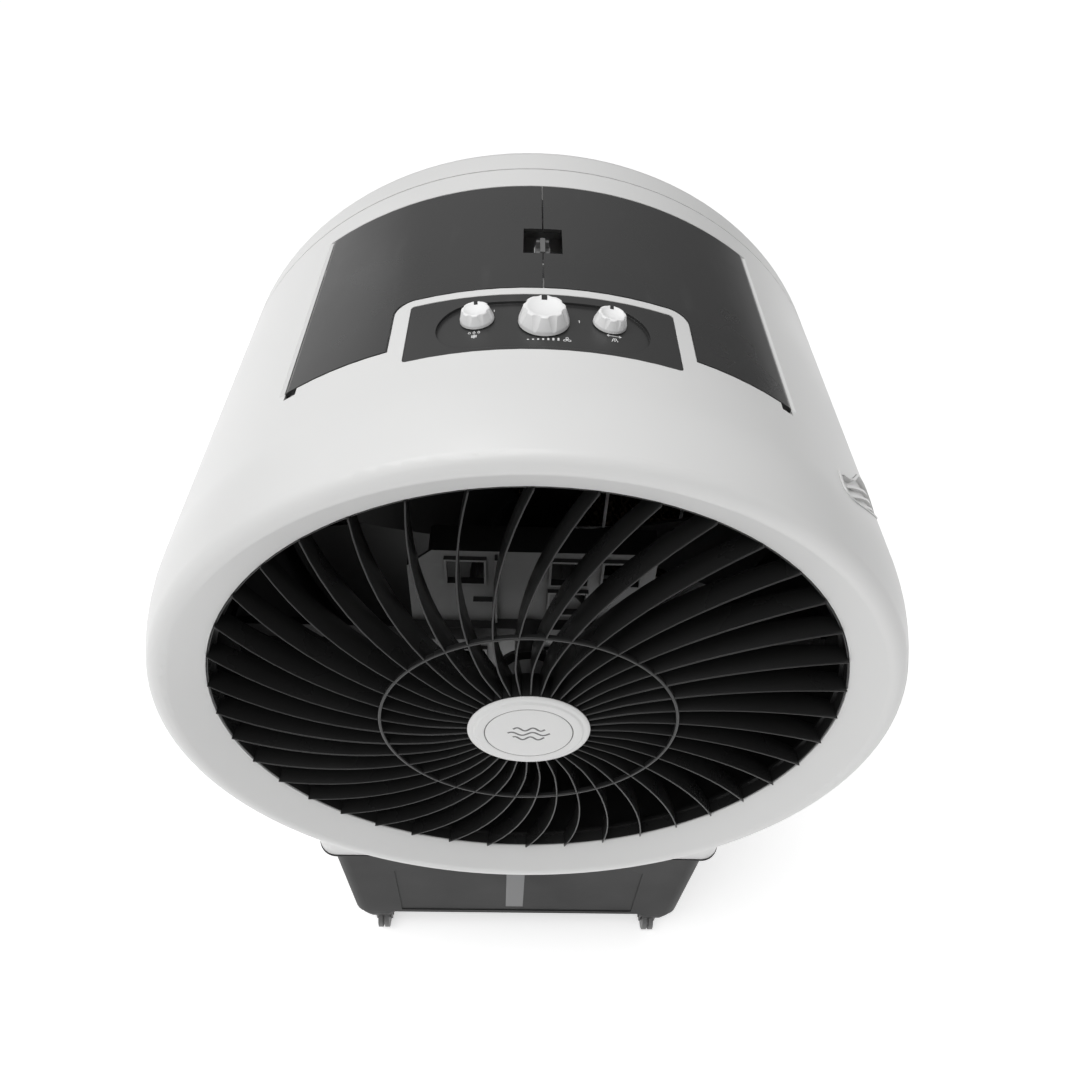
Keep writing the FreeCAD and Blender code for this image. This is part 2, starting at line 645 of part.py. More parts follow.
# ---- fan, motors and the frame that carries them --------------------------
def fan_shroud():
    duct = ring_y(SHROUD_R, SHROUD_R + WALL, 14.6, SHROUD_END_Y)
    bulkhead = ring_y(SHROUD_R, DRUM_R - WALL - 0.4, SHROUD_END_Y - WALL, SHROUD_END_Y)
    tray_room = lid_region(8).common(ring_y(TRAY_FLOOR_R - 1.5, 400, SHROUD_END_Y - 10, SHROUD_END_Y + 10))
    return fuse_all([duct, bulkhead.cut(tray_room)])


def cross_frame():
    """Level bar and lower arm across the duct, with a post for the swing motor."""
    bar = box(-SHROUD_R, SHROUD_R, BAR_Y1, BAR_Y2, -10, 10)
    arm = box(-10, 10, BAR_Y1, BAR_Y2, -SHROUD_R, 0)
    post = cyl_y(15, SWING_MOTOR_Y2 + 8, BAR_Y2)
    plate = cyl_y(32, SWING_MOTOR_Y2 + 4, SWING_MOTOR_Y2 + 8)
    pad = box(-22, 22, BAR_Y1 - 14, BAR_Y2 + 14, SHROUD_R - 6, SHROUD_R + 2)
    pads = [about_drum(pad, a) for a in (90, 180, 270)]
    frame = fuse_all([bar, arm, post, plate] + pads)
    return frame.common(cyl_y(SHROUD_R - 0.2, 0, 200))


def swing_motor():
    """Slow geared motor that turns the louvre wheel."""
    can = cyl_y(25, SWING_MOTOR_Y1, SWING_MOTOR_Y2)
    nose = cyl_y(8, SWING_MOTOR_Y1 - 4, SWING_MOTOR_Y1)
    ears = box(-32, 32, SWING_MOTOR_Y2 - 2, SWING_MOTOR_Y2 + 4, -6, 6)
    motor = fuse_all([can, nose, ears])
    return motor.cut(cyl_y(LOUVRE_SHAFT_R + RUNNING, SWING_MOTOR_Y1 - 6, SWING_MOTOR_Y2))


def cradle_window(x, z):
    return box(x - 18, x + 18, BAR_Y2 - 10, BAR_Y2 + 12, z - 16, z + 16)


def motor_cradle():
    """Light moulded bracket behind the bar, with framed windows and a tall rib."""
    y1 = BAR_Y2 + 4
    plate = box(CRADLE_X1, CRADLE_X2, y1, y1 + 3, CRADLE_Z1, CRADLE_Z2)
    shell = box(CRADLE_X1, CRADLE_X2, y1, y1 + 34, CRADLE_Z1, CRADLE_Z2)
    hollow = box(CRADLE_X1 + 3, CRADLE_X2 - 3, y1 + 3, y1 + 40, CRADLE_Z1 + 3, CRADLE_Z2 - 3)
    spots = [(x, z) for x in (-65, 37, 88) for z in (86, -58)] + [(37, 40)]
    rims = [box(x - 20.5, x + 20.5, y1 - 5, y1 + 3, z - 18.5, z + 18.5) for x, z in spots]
    rib = box(CRADLE_RIB_X - 1.5, CRADLE_RIB_X + 1.5, y1 - 8, y1 + 3, 12, CRADLE_Z2 - 4)
    shelf = box(-58, CRADLE_RIB_X, y1 - 7, y1 + 3, 42, 44.5)
    seat = box(-40, 40, BAR_Y2, y1 + 3, -9, 9)
    cradle = fuse_all([shell.cut(hollow), plate, rib, shelf, seat] + rims)
    cradle = cradle.cut(group([cradle_window(x, z) for x, z in spots]))
    corner = [V(CRADLE_X1 - 1, 60, CRADLE_Z2 + 1), V(CRADLE_X1 + 26, 60, CRADLE_Z2 + 1),
              V(CRADLE_X1 - 1, 60, CRADLE_Z2 - 24)]
    return cradle.cut(prism(corner, V(0, 120, 0)))


def fan_motor():
    body = cyl_y(MOTOR_R, MOTOR_Y1, MOTOR_Y2 - 8)
    cap = Part.makeCone(MOTOR_R, MOTOR_R - 12, 8, V(0, MOTOR_Y2 - 8, 0), AXIS_Y)
    nose = cyl_y(14, MOTOR_Y2, MOTOR_Y2 + 6)
    fins = [about_drum(box(-1.5, 1.5, MOTOR_Y1 + 12, MOTOR_Y2 - 16, MOTOR_R - 2, MOTOR_R + 4), 15.0 * i)
            for i in range(24)]
    motor = body.multiFuse([cap, nose] + fins)
    return motor.cut(cyl_y(SHAFT_R + RUNNING, MOTOR_Y2 - 50, MOTOR_Y2 + 10))


def fan_shaft():
    return cyl_y(SHAFT_R, MOTOR_Y2 - 49, FAN_MID_Y + 32)


def fan_blade_section(r, width, pitch):
    """Thin cambered section across the blade at distance r from the axis."""
    t = 3.0
    c, s = math.cos(math.radians(pitch)), math.sin(math.radians(pitch))
    sag = width * 0.06

    def p(u, w):
        return V(u * c - w * s, FAN_MID_Y + u * s + w * c, r)

    h = width / 2
    return Part.Wire([
        arc(p(-h, 0), p(0, sag), p(h, 0)),
        line(p(h, 0), p(h, t)),
        arc(p(h, t), p(0, sag + t), p(-h, t)),
        line(p(-h, t), p(-h, 0)),
    ])


def fan_rotor():
    sections = [fan_blade_section(r, width, pitch) for r, width, pitch in
                ((38, 56, 34), (165, 170, 24), (300, 270, 15))]
    blade = Part.makeLoft(sections, True, False)
    blade = blade.common(cyl_y(FAN_TIP_R, FAN_MID_Y - 60, FAN_MID_Y + 70))
    blades = [about_drum(blade, 360.0 / FAN_BLADES * i + 22) for i in range(FAN_BLADES)]
    hub = cyl_y(46, FAN_MID_Y - 28, FAN_MID_Y + 22)
    rotor = hub.multiFuse(blades)
    return rotor.cut(cyl_y(SHAFT_R, FAN_MID_Y - 40, FAN_MID_Y + 40))


def fan_nut():
    y = FAN_MID_Y + 22
    corners = []
    for i in range(6):
        a = math.radians(60 * i)
        corners.append(V(10 * math.cos(a), y, 10 * math.sin(a)))
    return prism(corners, V(0, 9, 0)).cut(cyl_y(SHAFT_R, y - 1, y + 20))


# ---- water side -----------------------------------------------------------
def cooling_pad():
    """Upright sheets held by level straps, trimmed to a round block."""
    pitch, sheet, strap = 15.0, 1.6, 2.0
    rows = int((PAD_R - sheet) / pitch)
    sheets = []
    for i in range(-rows, rows + 1):
        x = i * pitch
        half = math.sqrt(PAD_R ** 2 - (abs(x) + sheet / 2) ** 2) - 1
        sheets.append(box(x - sheet / 2, x + sheet / 2, PAD_Y1, PAD_Y2, -half, half))
    for z in (-260, -130, 0, 130, 260):
        half = math.sqrt(PAD_R ** 2 - (abs(z) + strap / 2) ** 2) - 1
        sheets.append(box(-half, half, PAD_Y1, PAD_Y2, z - strap / 2, z + strap / 2))
    hoop = ring_y(PAD_R - 2.5, PAD_R, PAD_Y1, PAD_Y2)
    return hoop.multiFuse(sheets)


def pad_frame():
    inner, outer = PAD_R + 0.5, PAD_R + 5.5
    hoop = ring_y(inner, outer, PAD_Y1 - 8, PAD_Y2 + 3)
    bars = []
    for i in (-2, -1, 0, 1, 2):
        offset = i * 100.0
        half = math.sqrt(inner ** 2 - offset ** 2) + 2
        bars.append(box(offset - 2, offset + 2, PAD_Y1 - 8, PAD_Y1 - 4, -half, half))
        bars.append(box(-half, half, PAD_Y1 - 4, PAD_Y1 - 1, offset - 2, offset + 2))
    lugs = [about_drum(box(-12, 12, PAD_Y1 - 8, PAD_Y1 + 2, outer - 2, 350), a) for a in (58, 122, 238, 302)]
    return hoop.multiFuse(bars + lugs)


def distribution_trough():
    """Open trough over the pad that spreads the pumped water."""
    outer = sector(PAD_R + 9, 346, TROUGH_Y1, TROUGH_Y2, TROUGH_ANGLE)
    hollow = sector(PAD_R + 11.5, 349, TROUGH_Y1 + 2.5, TROUGH_Y2 - 2.5, TROUGH_ANGLE - 1)
    trough = outer.cut(hollow)
    holes = [about_drum(cyl_z(1.5, 310, 340, 0, (TROUGH_Y1 + TROUGH_Y2) / 2), 5.0 * i) for i in range(-5, 6)]
    return trough.cut(group(holes))


def hose_path():
    """Up from the pump, one bend, then round inside the shell to the trough."""
    reach = HOSE_WALL_R + HOSE_BEND
    start = math.asin((HOSE_X + HOSE_BEND) / reach)
    bend_z = -reach * math.cos(start)

    def wall(angle):
        return V(HOSE_WALL_R * math.sin(angle), HOSE_Y, -HOSE_WALL_R * math.cos(angle))

    def bend(angle):
        return V(HOSE_X + HOSE_BEND - HOSE_BEND * math.cos(angle), HOSE_Y, bend_z + HOSE_BEND * math.sin(angle))

    end = math.pi - math.radians(TROUGH_ANGLE) - 0.001
    sweep = math.pi / 2 - start
    edges = [
        line(V(HOSE_X, HOSE_Y, PUMP_TOP), bend(0)),
        arc(bend(0), bend(sweep / 2), bend(sweep)),
        arc(wall(start), wall((start + end) / 2), wall(end)),
    ]
    return Part.Wire(edges)


def water_hose():
    path = hose_path()
    section = Part.Wire(Part.makeCircle(HOSE_R, V(HOSE_X, HOSE_Y, PUMP_TOP), V(0, 0, 1)))
    hose = path.makePipeShell([section], True, True)
    ideal = math.pi * HOSE_R ** 2 * path.Length
    print(f"hose length {path.Length:.1f} mm, volume over section times length {hose.Volume / ideal:.4f}")
    return hose


def collar_skirt():
    """White skirt between the drum and the tank, before it is parted into panels."""
    outer = rounded_block(-COLLAR_X, COLLAR_X, COLLAR_Y1, COLLAR_Y2, COLLAR_BOTTOM, COLLAR_TOP, COLLAR_CORNER)
    inner = rounded_block(WALL - COLLAR_X, COLLAR_X - WALL, COLLAR_Y1 + WALL, COLLAR_Y2 - WALL,
                          COLLAR_BOTTOM - 1, COLLAR_TOP + 1, COLLAR_CORNER - WALL)
    drum = cyl_y(DRUM_R + 0.2, SHOULDER_Y - 60, 460)
    rim_room = turned(shell_profile()).fuse(cyl_y(DRUM_R - 1, 0, 400))
    return outer.cut(inner).cut(drum).cut(rim_room)


def collar_panel(y1, y2):
    """Flat front or rear panel of the skirt, between the rounded corners."""
    half = COLLAR_X - COLLAR_CORNER
    return collar_skirt().common(box(-half, half, y1, y2, COLLAR_BOTTOM, COLLAR_TOP))


def collar_rear():
    panel = collar_panel(COLLAR_Y2 - WALL, COLLAR_Y2)
    return panel.cut(cyl_y(GLAND_R, COLLAR_Y2 - 10, COLLAR_Y2 + 5, *GLAND_XZ))


def collar_sides():
    """The two side panels with the rounded corners."""
    half = COLLAR_X - COLLAR_CORNER
    side = collar_skirt().common(box(half, COLLAR_X, COLLAR_Y1, COLLAR_Y2, COLLAR_BOTTOM, COLLAR_TOP))
    return group([side, mirrored(side)])


def foot_block(sections):
    """Block through rounded rectangles (x1, x2, y1, y2, z, corner), from the bottom up."""
    return Part.makeLoft([rounded_rect(*section) for section in sections], True, True)


def tank_pod(sx, front):
    """Foot block under one corner of the tank, with the shallow step beside it."""
    x1, x2 = POD_X, TANK_X_BOTTOM - 0.6
    y1, y2 = (TANK_Y1 + 0.6, TANK_Y1 + POD_LENGTH) if front else (TANK_Y2 - POD_LENGTH, TANK_Y2 - 0.6)
    foot = foot_block([
        (x1 + 9, x2 - 22, y1 + 5, y2 - 5, POD_BOTTOM, 12),
        (x1 + 4, x2 - 11, y1 + 2, y2 - 2, POD_BOTTOM + 5, 16),
        (x1, x2 - 4, y1 + 0.4, y2 - 0.4, POD_BOTTOM + 16, 20),
        (x1 - 0.3, x2, y1, y2, TANK_BOTTOM + 2, TANK_CORNER)])
    ledge = foot_block([
        (LEDGE_X + 4, x2 - 16, y1 + 4, y2 - 4, LEDGE_Z, 12),
        (LEDGE_X, x2 - 10, y1 + 1, y2 - 1, TANK_BOTTOM + 2, 14)])
    pod = fuse_all([foot, ledge])
    return pod if sx > 0 else mirrored(pod)


def caster_places():
    rear_y = TANK_Y2 + TANK_Y1 - CASTER_Y
    return {"front_left": (-CASTER_X, CASTER_Y), "front_right": (CASTER_X, CASTER_Y),
            "rear_left": (-CASTER_X, rear_y), "rear_right": (CASTER_X, rear_y)}


def front_recess():
    """Shallow field on the tank's face with cut-off top corners."""
    y1 = TANK_Y1 - 5
    points = [V(-168, y1, -574), V(168, y1, -574), V(168, y1, -435), V(144, y1, -415),
              V(-144, y1, -415), V(-168, y1, -435)]
    return prism(points, V(0, 5 + RECESS_DEPTH, 0))


def water_tank():
    low = (-TANK_X_BOTTOM, TANK_X_BOTTOM, TANK_Y1, TANK_Y2, TANK_BOTTOM)
    high = (-TANK_X_TOP, TANK_X_TOP, TANK_Y1, TANK_Y2, TANK_TOP)
    body = tapered_block(low, high, TANK_CORNER)
    t = 4.0
    low_in = (t - TANK_X_BOTTOM, TANK_X_BOTTOM - t, TANK_Y1 + t, TANK_Y2 - t, TANK_BOTTOM + t)
    high_in = (t - TANK_X_TOP, TANK_X_TOP - t, TANK_Y1 + t, TANK_Y2 - t, TANK_TOP + 10)
    pods = [tank_pod(sx, front) for sx in (-1, 1) for front in (True, False)]
    flange = rounded_block(-COLLAR_X - 1, COLLAR_X + 1, COLLAR_Y1 - 1, COLLAR_Y2 + 1, TANK_TOP, TANK_TOP + 2.8,
                           COLLAR_CORNER + 1)
    tank = fuse_all([body, flange] + pods)
    tank = tank.cut(tapered_block(low_in, high_in, TANK_CORNER - t)).cut(front_recess())
    tank = tank.cut(box(WINDOW_X1, WINDOW_X2, TANK_Y1 - 5, TANK_Y1 + 10, WINDOW_Z1, WINDOW_Z2))
    tank = tank.cut(cyl_y(DRAIN_R, TANK_Y2 - 8, TANK_Y2 + 5, *DRAIN_XZ))
    tank = tank.cut(cyl_y(VALVE_R, TANK_Y2 - 8, TANK_Y2 + 5, *VALVE_XZ))
    sockets = [cyl_z(SOCKET_R, POD_BOTTOM - 1, POD_BOTTOM + 24, x, y) for x, y in caster_places().values()]
    return tank.cut(group(sockets))


def level_window():
    """Clear strip in the tank's face, flush with its recessed field."""
    y1 = TANK_Y1 + RECESS_DEPTH
    pane = box(WINDOW_X1 + 0.1, WINDOW_X2 - 0.1, y1, TANK_Y1 + 4, WINDOW_Z1 + 0.1, WINDOW_Z2 - 0.1)
    back = box(WINDOW_X1 - 4, WINDOW_X2 + 4, TANK_Y1 + 4, TANK_Y1 + 6, WINDOW_Z1 - 4, WINDOW_Z2 + 4)
    return fuse_all([pane, back])


def pump_body():
    block = rounded_block(PUMP_X1, PUMP_X2, PUMP_Y1, PUMP_Y2, PUMP_BOTTOM, -512, 8)
    outlet = cyl_z(HOSE_R, -513, PUMP_TOP, HOSE_X, HOSE_Y)
    pump = fuse_all([block, outlet])
    pump = pump.cut(cyl_z(IMPELLER_R + 2, PUMP_BOTTOM - 1, PUMP_BOTTOM + 14, HOSE_X, HOSE_Y))
    return pump.cut(cyl_z(2 + RUNNING, PUMP_BOTTOM, PUMP_BOTTOM + 36, HOSE_X, HOSE_Y))


def pump_impeller():
    z = PUMP_BOTTOM + 2
    disc = cyl_z(IMPELLER_R, z + 6, z + 8, HOSE_X, HOSE_Y)
    hub = cyl_z(4, z, z + 8, HOSE_X, HOSE_Y)
    spindle = cyl_z(2, z, z + 32, HOSE_X, HOSE_Y)
    vanes = []
    for i in range(6):
        vane = box(3, IMPELLER_R - 1, -0.8, 0.8, z, z + 7)
        vane.rotate(ORIGIN, V(0, 0, 1), 60 * i)
        vane.translate(V(HOSE_X, HOSE_Y, 0))
        vanes.append(vane)
    return fuse_all([disc, hub, spindle] + vanes)


def pump_strainer():
    """Slotted foot that keeps scale out of the pump."""
    top = PUMP_BOTTOM
    foot = rounded_block(PUMP_X1 - 2, PUMP_X2 + 2, PUMP_Y1 - 2, PUMP_Y2 + 2, TANK_BOTTOM + 4, top, 9)
    foot = foot.cut(rounded_block(PUMP_X1, PUMP_X2, PUMP_Y1, PUMP_Y2, TANK_BOTTOM + 3, top - 2, 8))
    foot = foot.cut(cyl_z(8, top - 3, top + 1, HOSE_X, HOSE_Y))
    slots = []
    for i in range(6):
        x = PUMP_X1 + 6 + 7.2 * i
        slots.append(box(x, x + 3, PUMP_Y1 - 5, PUMP_Y2 + 5, TANK_BOTTOM + 6, top - 3))
    return foot.cut(group(slots))


def float_valve():
    """Inlet valve through the tank's back wall, with an outside hose nipple."""
    x, z = VALVE_XZ
    barrel = cyl_y(VALVE_R, 392, TANK_Y2 + 6, x, z)
    inner_flange = cyl_y(13, 398, TANK_Y2 - 4, x, z)
    outer_nut = cyl_y(13, TANK_Y2, TANK_Y2 + 6, x, z)
    nipple = cyl_y(NIPPLE_R, TANK_Y2 + 6, TANK_Y2 + 6 + NIPPLE_LENGTH, x, z)
    ears = [box(side, side + 4, ARM_PIVOT_Y - 6, 399, z - 6, z + 6) for side in (x - 8, x + 4)]
    pin = cyl_x(ARM_PIN_R, x - 8, x + 8, ARM_PIVOT_Y, z)
    valve = fuse_all([barrel, inner_flange, outer_nut, nipple, pin] + ears)
    return valve.cut(cyl_y(2.5, TANK_Y2 - 6, TANK_Y2 + 40, x, z))


def arm_end():
    drop = math.radians(ARM_DROP)
    return V(VALVE_XZ[0], ARM_PIVOT_Y - ARM_LENGTH * math.cos(drop), VALVE_XZ[1] - ARM_LENGTH * math.sin(drop))


def float_arm():
    x, z = VALVE_XZ
    pivot = V(x, ARM_PIVOT_Y, z)
    eye = cyl_x(5, x - 3.6, x + 3.6, ARM_PIVOT_Y, z)
    along = arm_end() - pivot
    rod = Part.makeCylinder(2, ARM_LENGTH - FLOAT_R + 3, pivot, along)
    return fuse_all([eye, rod]).cut(cyl_x(ARM_PIN_R + RUNNING, x - 9, x + 9, ARM_PIVOT_Y, z))


def float_ball():
    x, z = VALVE_XZ
    pivot = V(x, ARM_PIVOT_Y, z)
    ball = Part.makeSphere(FLOAT_R, arm_end())
    return ball.cut(Part.makeCylinder(2, ARM_LENGTH - FLOAT_R + 3, pivot, arm_end() - pivot))


def drain_plug():
    x, z = DRAIN_XZ
    shank = cyl_y(DRAIN_R - RUNNING, TANK_Y2 - 8, TANK_Y2 + 3, x, z)
    head = cyl_y(17, TANK_Y2 + 3, TANK_Y2 + 10, x, z)
    grip = box(x - 12, x + 12, TANK_Y2 + 10, TANK_Y2 + 18, z - 2.5, z + 2.5)
    return fuse_all([shank, head, grip])


def drain_seal():
    return ring_y(DRAIN_R + 0.3, 15.5, TANK_Y2 + 0.5, TANK_Y2 + 3, *DRAIN_XZ)


# ---- casters --------------------------------------------------------------
def caster_sockets():
    return group([cyl_z(SOCKET_R, POD_BOTTOM, POD_BOTTOM + 22, x, y).cut(
        cyl_z(STEM_R + RUNNING, POD_BOTTOM - 1, POD_BOTTOM + 20, x, y)) for x, y in caster_places().values()])


def caster_fork(x, y):
    """Stem, domed hood and two cheeks with the riveted axle."""
    axle_y = y - CASTER_TRAIL
    half = WHEEL_WIDTH / 2
    stem = cyl_z(STEM_R, -622, POD_BOTTOM + 19, x, y)
    crown = cyl_z(16, -618, POD_BOTTOM - 0.6, x, y)
    hood = box(x - half - 4, x + half + 4, axle_y - 6, y + 12, -618, POD_BOTTOM - 0.6)
    parts = [stem, crown, hood]
    for side in (-1, 1):
        inner = x + side * (half + 1)
        outer = x + side * (half + 4)
        low, high = min(inner, outer), max(inner, outer)
        cheek = prism([V(low, axle_y - 7, AXLE_Z - 4), V(low, axle_y + 7, AXLE_Z - 4),
                       V(low, y + 12, -616), V(low, axle_y - 8, -616)], V(high - low, 0, 0))
        parts.append(cheek)
    parts.append(cyl_x(AXLE_R, x - half - 5, x + half + 5, axle_y, AXLE_Z))
    fork = fuse_all(parts)
    room = cyl_x(WHEEL_R + 1.5, x - half - 1, x + half + 1, axle_y, AXLE_Z)
    axle = cyl_x(AXLE_R, x - half - 5, x + half + 5, axle_y, AXLE_Z)
    return fuse_all([fork.cut(room), axle])


def caster_wheel(x, y):
    axle_y = y - CASTER_TRAIL
    half = WHEEL_WIDTH / 2
    wheel = cyl_x(WHEEL_R, x - half, x + half, axle_y, AXLE_Z)
    groove = cyl_x(WHEEL_R + 1, x - 1.5, x + 1.5, axle_y, AXLE_Z).cut(
        cyl_x(WHEEL_R - 4, x - 1.5, x + 1.5, axle_y, AXLE_Z))
    return wheel.cut(groove).cut(cyl_x(AXLE_R + RUNNING, x - half - 1, x + half + 1, axle_y, AXLE_Z))


# ---- write every node -----------------------------------------------------
def build():
    save("front_shell", front_shell())
    save("rear_shell", rear_shell())
    save("rear_grille", rear_grille())
    save("case_screws", case_screws())
    save("cord_gland", cord_gland())
    save("side_relief", side_relief())
    save("lid_right", lid_right())
    save("lid_left", mirrored(lid_right()))
    save("lid_pins_right", lid_pins_right())
    save("lid_pins_left", mirrored(lid_pins_right()))
    save("lid_catch", lid_catch())
    save("ice_tray", ice_tray())
    save("control_panel", control_panel())
    controls = {"cool": (SIDE_KNOB_R, SIDE_KNOB_HEIGHT, 10.0, -SIDE_KNOB_ANGLE, SIDE_KNOB_Y),
                "speed": (MAIN_KNOB_R, MAIN_KNOB_HEIGHT, 14.0, 0.0, MAIN_KNOB_Y),
                "swing": (SIDE_KNOB_R, SIDE_KNOB_HEIGHT, 10.0, SIDE_KNOB_ANGLE, SIDE_KNOB_Y)}
    for name, (radius, height, half, angle, y) in controls.items():
        save(name + "_knob", knob(radius, height, angle, y))
        save(name + "_shaft", switch_shaft(height, angle, y))
        save(name + "_switch", rotary_switch(half, angle, y))
    save("capacitor", capacitor())
    save("louvre_wheel", louvre_wheel())
    save("louvre_shaft", louvre_shaft())
    save("hub_cap", hub_cap())
    save("swing_motor", swing_motor())
    save("cross_frame", cross_frame())
    save("motor_cradle", motor_cradle())
    save("fan_motor", fan_motor())
    save("fan_shaft", fan_shaft())
    save("fan_rotor", fan_rotor())
    save("fan_nut", fan_nut())
    save("fan_shroud", fan_shroud())
    save("cooling_pad", cooling_pad())
    save("pad_frame", pad_frame())
    save("distribution_trough", distribution_trough())
    save("water_hose", water_hose())
    save("collar_front", collar_panel(COLLAR_Y1, COLLAR_Y1 + WALL))
    save("collar_rear", collar_rear())
    save("collar_sides", collar_sides())
    save("water_tank", water_tank())
    save("level_window", level_window())
    save("pump_body", pump_body())
    save("pump_impeller", pump_impeller())
    save("pump_strainer", pump_strainer())
    save("float_valve", float_valve())
    save("float_arm", float_arm())
    save("float_ball", float_ball())
    save("drain_plug", drain_plug())
    save("drain_seal", drain_seal())
    save("caster_sockets", caster_sockets())
    for name, (x, y) in caster_places().items():
        save("caster_fork_" + name, caster_fork(x, y))
        save("caster_wheel_" + name, caster_wheel(x, y))


build()
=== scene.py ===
import json
import math

import bpy
from mathutils import Matrix, Vector


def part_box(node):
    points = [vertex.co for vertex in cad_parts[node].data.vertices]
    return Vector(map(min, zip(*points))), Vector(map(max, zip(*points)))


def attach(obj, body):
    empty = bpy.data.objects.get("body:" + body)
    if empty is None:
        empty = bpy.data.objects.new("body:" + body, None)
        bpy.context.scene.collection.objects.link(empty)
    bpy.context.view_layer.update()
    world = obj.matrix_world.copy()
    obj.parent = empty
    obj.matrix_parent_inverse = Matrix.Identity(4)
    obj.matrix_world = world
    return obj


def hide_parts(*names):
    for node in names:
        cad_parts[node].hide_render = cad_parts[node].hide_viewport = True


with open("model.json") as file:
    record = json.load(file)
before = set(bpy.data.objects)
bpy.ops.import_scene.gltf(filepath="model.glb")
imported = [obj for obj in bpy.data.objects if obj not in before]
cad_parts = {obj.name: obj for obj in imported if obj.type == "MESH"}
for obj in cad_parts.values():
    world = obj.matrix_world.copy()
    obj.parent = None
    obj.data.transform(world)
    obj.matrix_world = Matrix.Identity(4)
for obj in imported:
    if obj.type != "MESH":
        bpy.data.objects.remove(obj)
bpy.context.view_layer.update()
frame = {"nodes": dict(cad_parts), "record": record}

# ---- measures ---------------------------------------------------------------
# Shapes are made in millimetres in the drum's own frame: X to the right, Y from
# the air outlet to the back, Z up, zero in the middle of the outlet opening.
MM = 0.001
CAP_LOW, CAP_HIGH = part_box("hub_cap")
CAP_FACE_Y, CAP_BACK_Y, CAP_R = -22.5, -18.2, 58.5
CAP_SETBACK = 0.08                       # keeps the print on the cap inside the CAD box
CAP_GROOVE_R1, CAP_GROOVE_R2, CAP_GROOVE_DEPTH = 41.4, 42.5, 0.8
AXIS = Vector(((CAP_LOW.x + CAP_HIGH.x) / 2, CAP_LOW.y - CAP_FACE_Y * MM,
               (CAP_LOW.z + CAP_HIGH.z) / 2))
DRUM_R = 356.5
OPENING_R = 300.0
VANE_COUNT, VANE_SWEEP = 40, 17.0        # sweep in degrees
VANE_THICK, VANE_TIP_THICK = 1.8, 1.2
VANE_FRONT_Y, VANE_DOME = -3.0, 15.0     # the front edges stand further forward at the middle
VANE_BACK_Y, VANE_BACK_RISE = 6.0, 11.0  # the back edges lie further back at the tips
VANE_STRAIGHT_R = 92.0                   # vanes run straight out to here, then curve
VANE_TIP_R = 299.2
VANE_STATIONS = (70, 84, 98, 112, 128, 145, 163, 182, 202, 222, 243, 264, 282)
LOUVRE_HUB_R, LOUVRE_HUB_WALL = 57.0, 3.0
HUB_FRONT_Y, HUB_FLOOR_Y, HUB_BACK_Y = -18.0, -14.2, 8.0    # a pan, open to the back
SHAFT_R, BOSS_R, BOSS_FRONT_Y, BOSS_BACK_Y = 3.5, 10, -15.2, 14
LOUVRE_RING_R, LOUVRE_RING_DEPTH = 141.0, 5
SLEEVE_Y1, SLEEVE_Y2 = 0.6, 16.5         # thin sleeve that joins the vane tips
SLEEVE_WALL, SLEEVE_FOOT, SLEEVE_FOOT_DEPTH = 1.2, 5, 4
DISH_R = 353.7                           # floor of the control panel's dish
SIDE_KNOB_ANGLE = 8.3                    # degrees either side of the top
KNOB_BASE = 354.5
# body, radius, height, angle round the drum, distance behind the outlet
KNOBS = (("cool", 13.4, 10.0, -SIDE_KNOB_ANGLE, 131.0), ("speed", 19.7, 13.8, 0.0, 125.4),
         ("swing", 13.4, 10.0, SIDE_KNOB_ANGLE, 131.0))
RIM_R, RIM_TUBE, RIM_Y, SHOULDER_Y = 334.7, 12.4, -8.8, 45.0
COLLAR_X, COLLAR_Y1, COLLAR_Y2, COLLAR_CORNER = 262.0, 20.0, 417.0, 24.0
COLLAR_BOTTOM, COLLAR_WALL, COLLAR_PATH_STEP = -382.0, 3.0, 6.0
COLLAR_SINK = 1.2                        # how far the skirt reaches into the shell
PAD_R, PAD_Y1, PAD_Y2 = 316.0, 352.0, 410.0
SHARP_ANGLE = 38.0                       # degrees; a sharper edge is not smoothed over
AXIS_GAP = 0.01                          # a turned disc ends here, so no points share the axis


# ---- materials --------------------------------------------------------------
def new_material(name, colour, roughness, specular=0.5, coat=0.0, metallic=0.0):
    """Material with its node tree and shader; what varies is wired in by the caller."""
    made = bpy.data.materials.new(name)
    made.use_nodes = True
    shader = made.node_tree.nodes["Principled BSDF"]
    shader.inputs["Base Color"].default_value = (*colour, 1)
    shader.inputs["Roughness"].default_value = roughness
    shader.inputs["Specular IOR Level"].default_value = specular
    shader.inputs["Coat Weight"].default_value = coat
    shader.inputs["Coat Roughness"].default_value = 0.12
    shader.inputs["Metallic"].default_value = metallic
    return made, made.node_tree, shader


def noise(tree, scale, detail, stretch=(1, 1, 1)):
    """Noise over the object's own coordinates, which can be drawn out along an axis."""
    nodes, links = tree.nodes, tree.links
    place = nodes.new("ShaderNodeTexCoord")
    bend = nodes.new("ShaderNodeMapping")
    bend.inputs["Scale"].default_value = stretch
    made = nodes.new("ShaderNodeTexNoise")
    made.inputs["Scale"].default_value = scale
    made.inputs["Detail"].default_value = detail
    links.new(place.outputs["Object"], bend.inputs["Vector"])
    links.new(bend.outputs["Vector"], made.inputs["Vector"])
    return made.outputs["Fac"]


def ramp(tree, fac, low, high, colour_low, colour_high):
    """Colour that runs from one to another while the factor runs from low to high."""
    made = tree.nodes.new("ShaderNodeValToRGB")
    made.color_ramp.elements[0].position = low
    made.color_ramp.elements[1].position = high
    made.color_ramp.elements[0].color = (*colour_low, 1)
    made.color_ramp.elements[1].color = (*colour_high, 1)
    tree.links.new(fac, made.inputs["Fac"])
    return made.outputs["Color"]


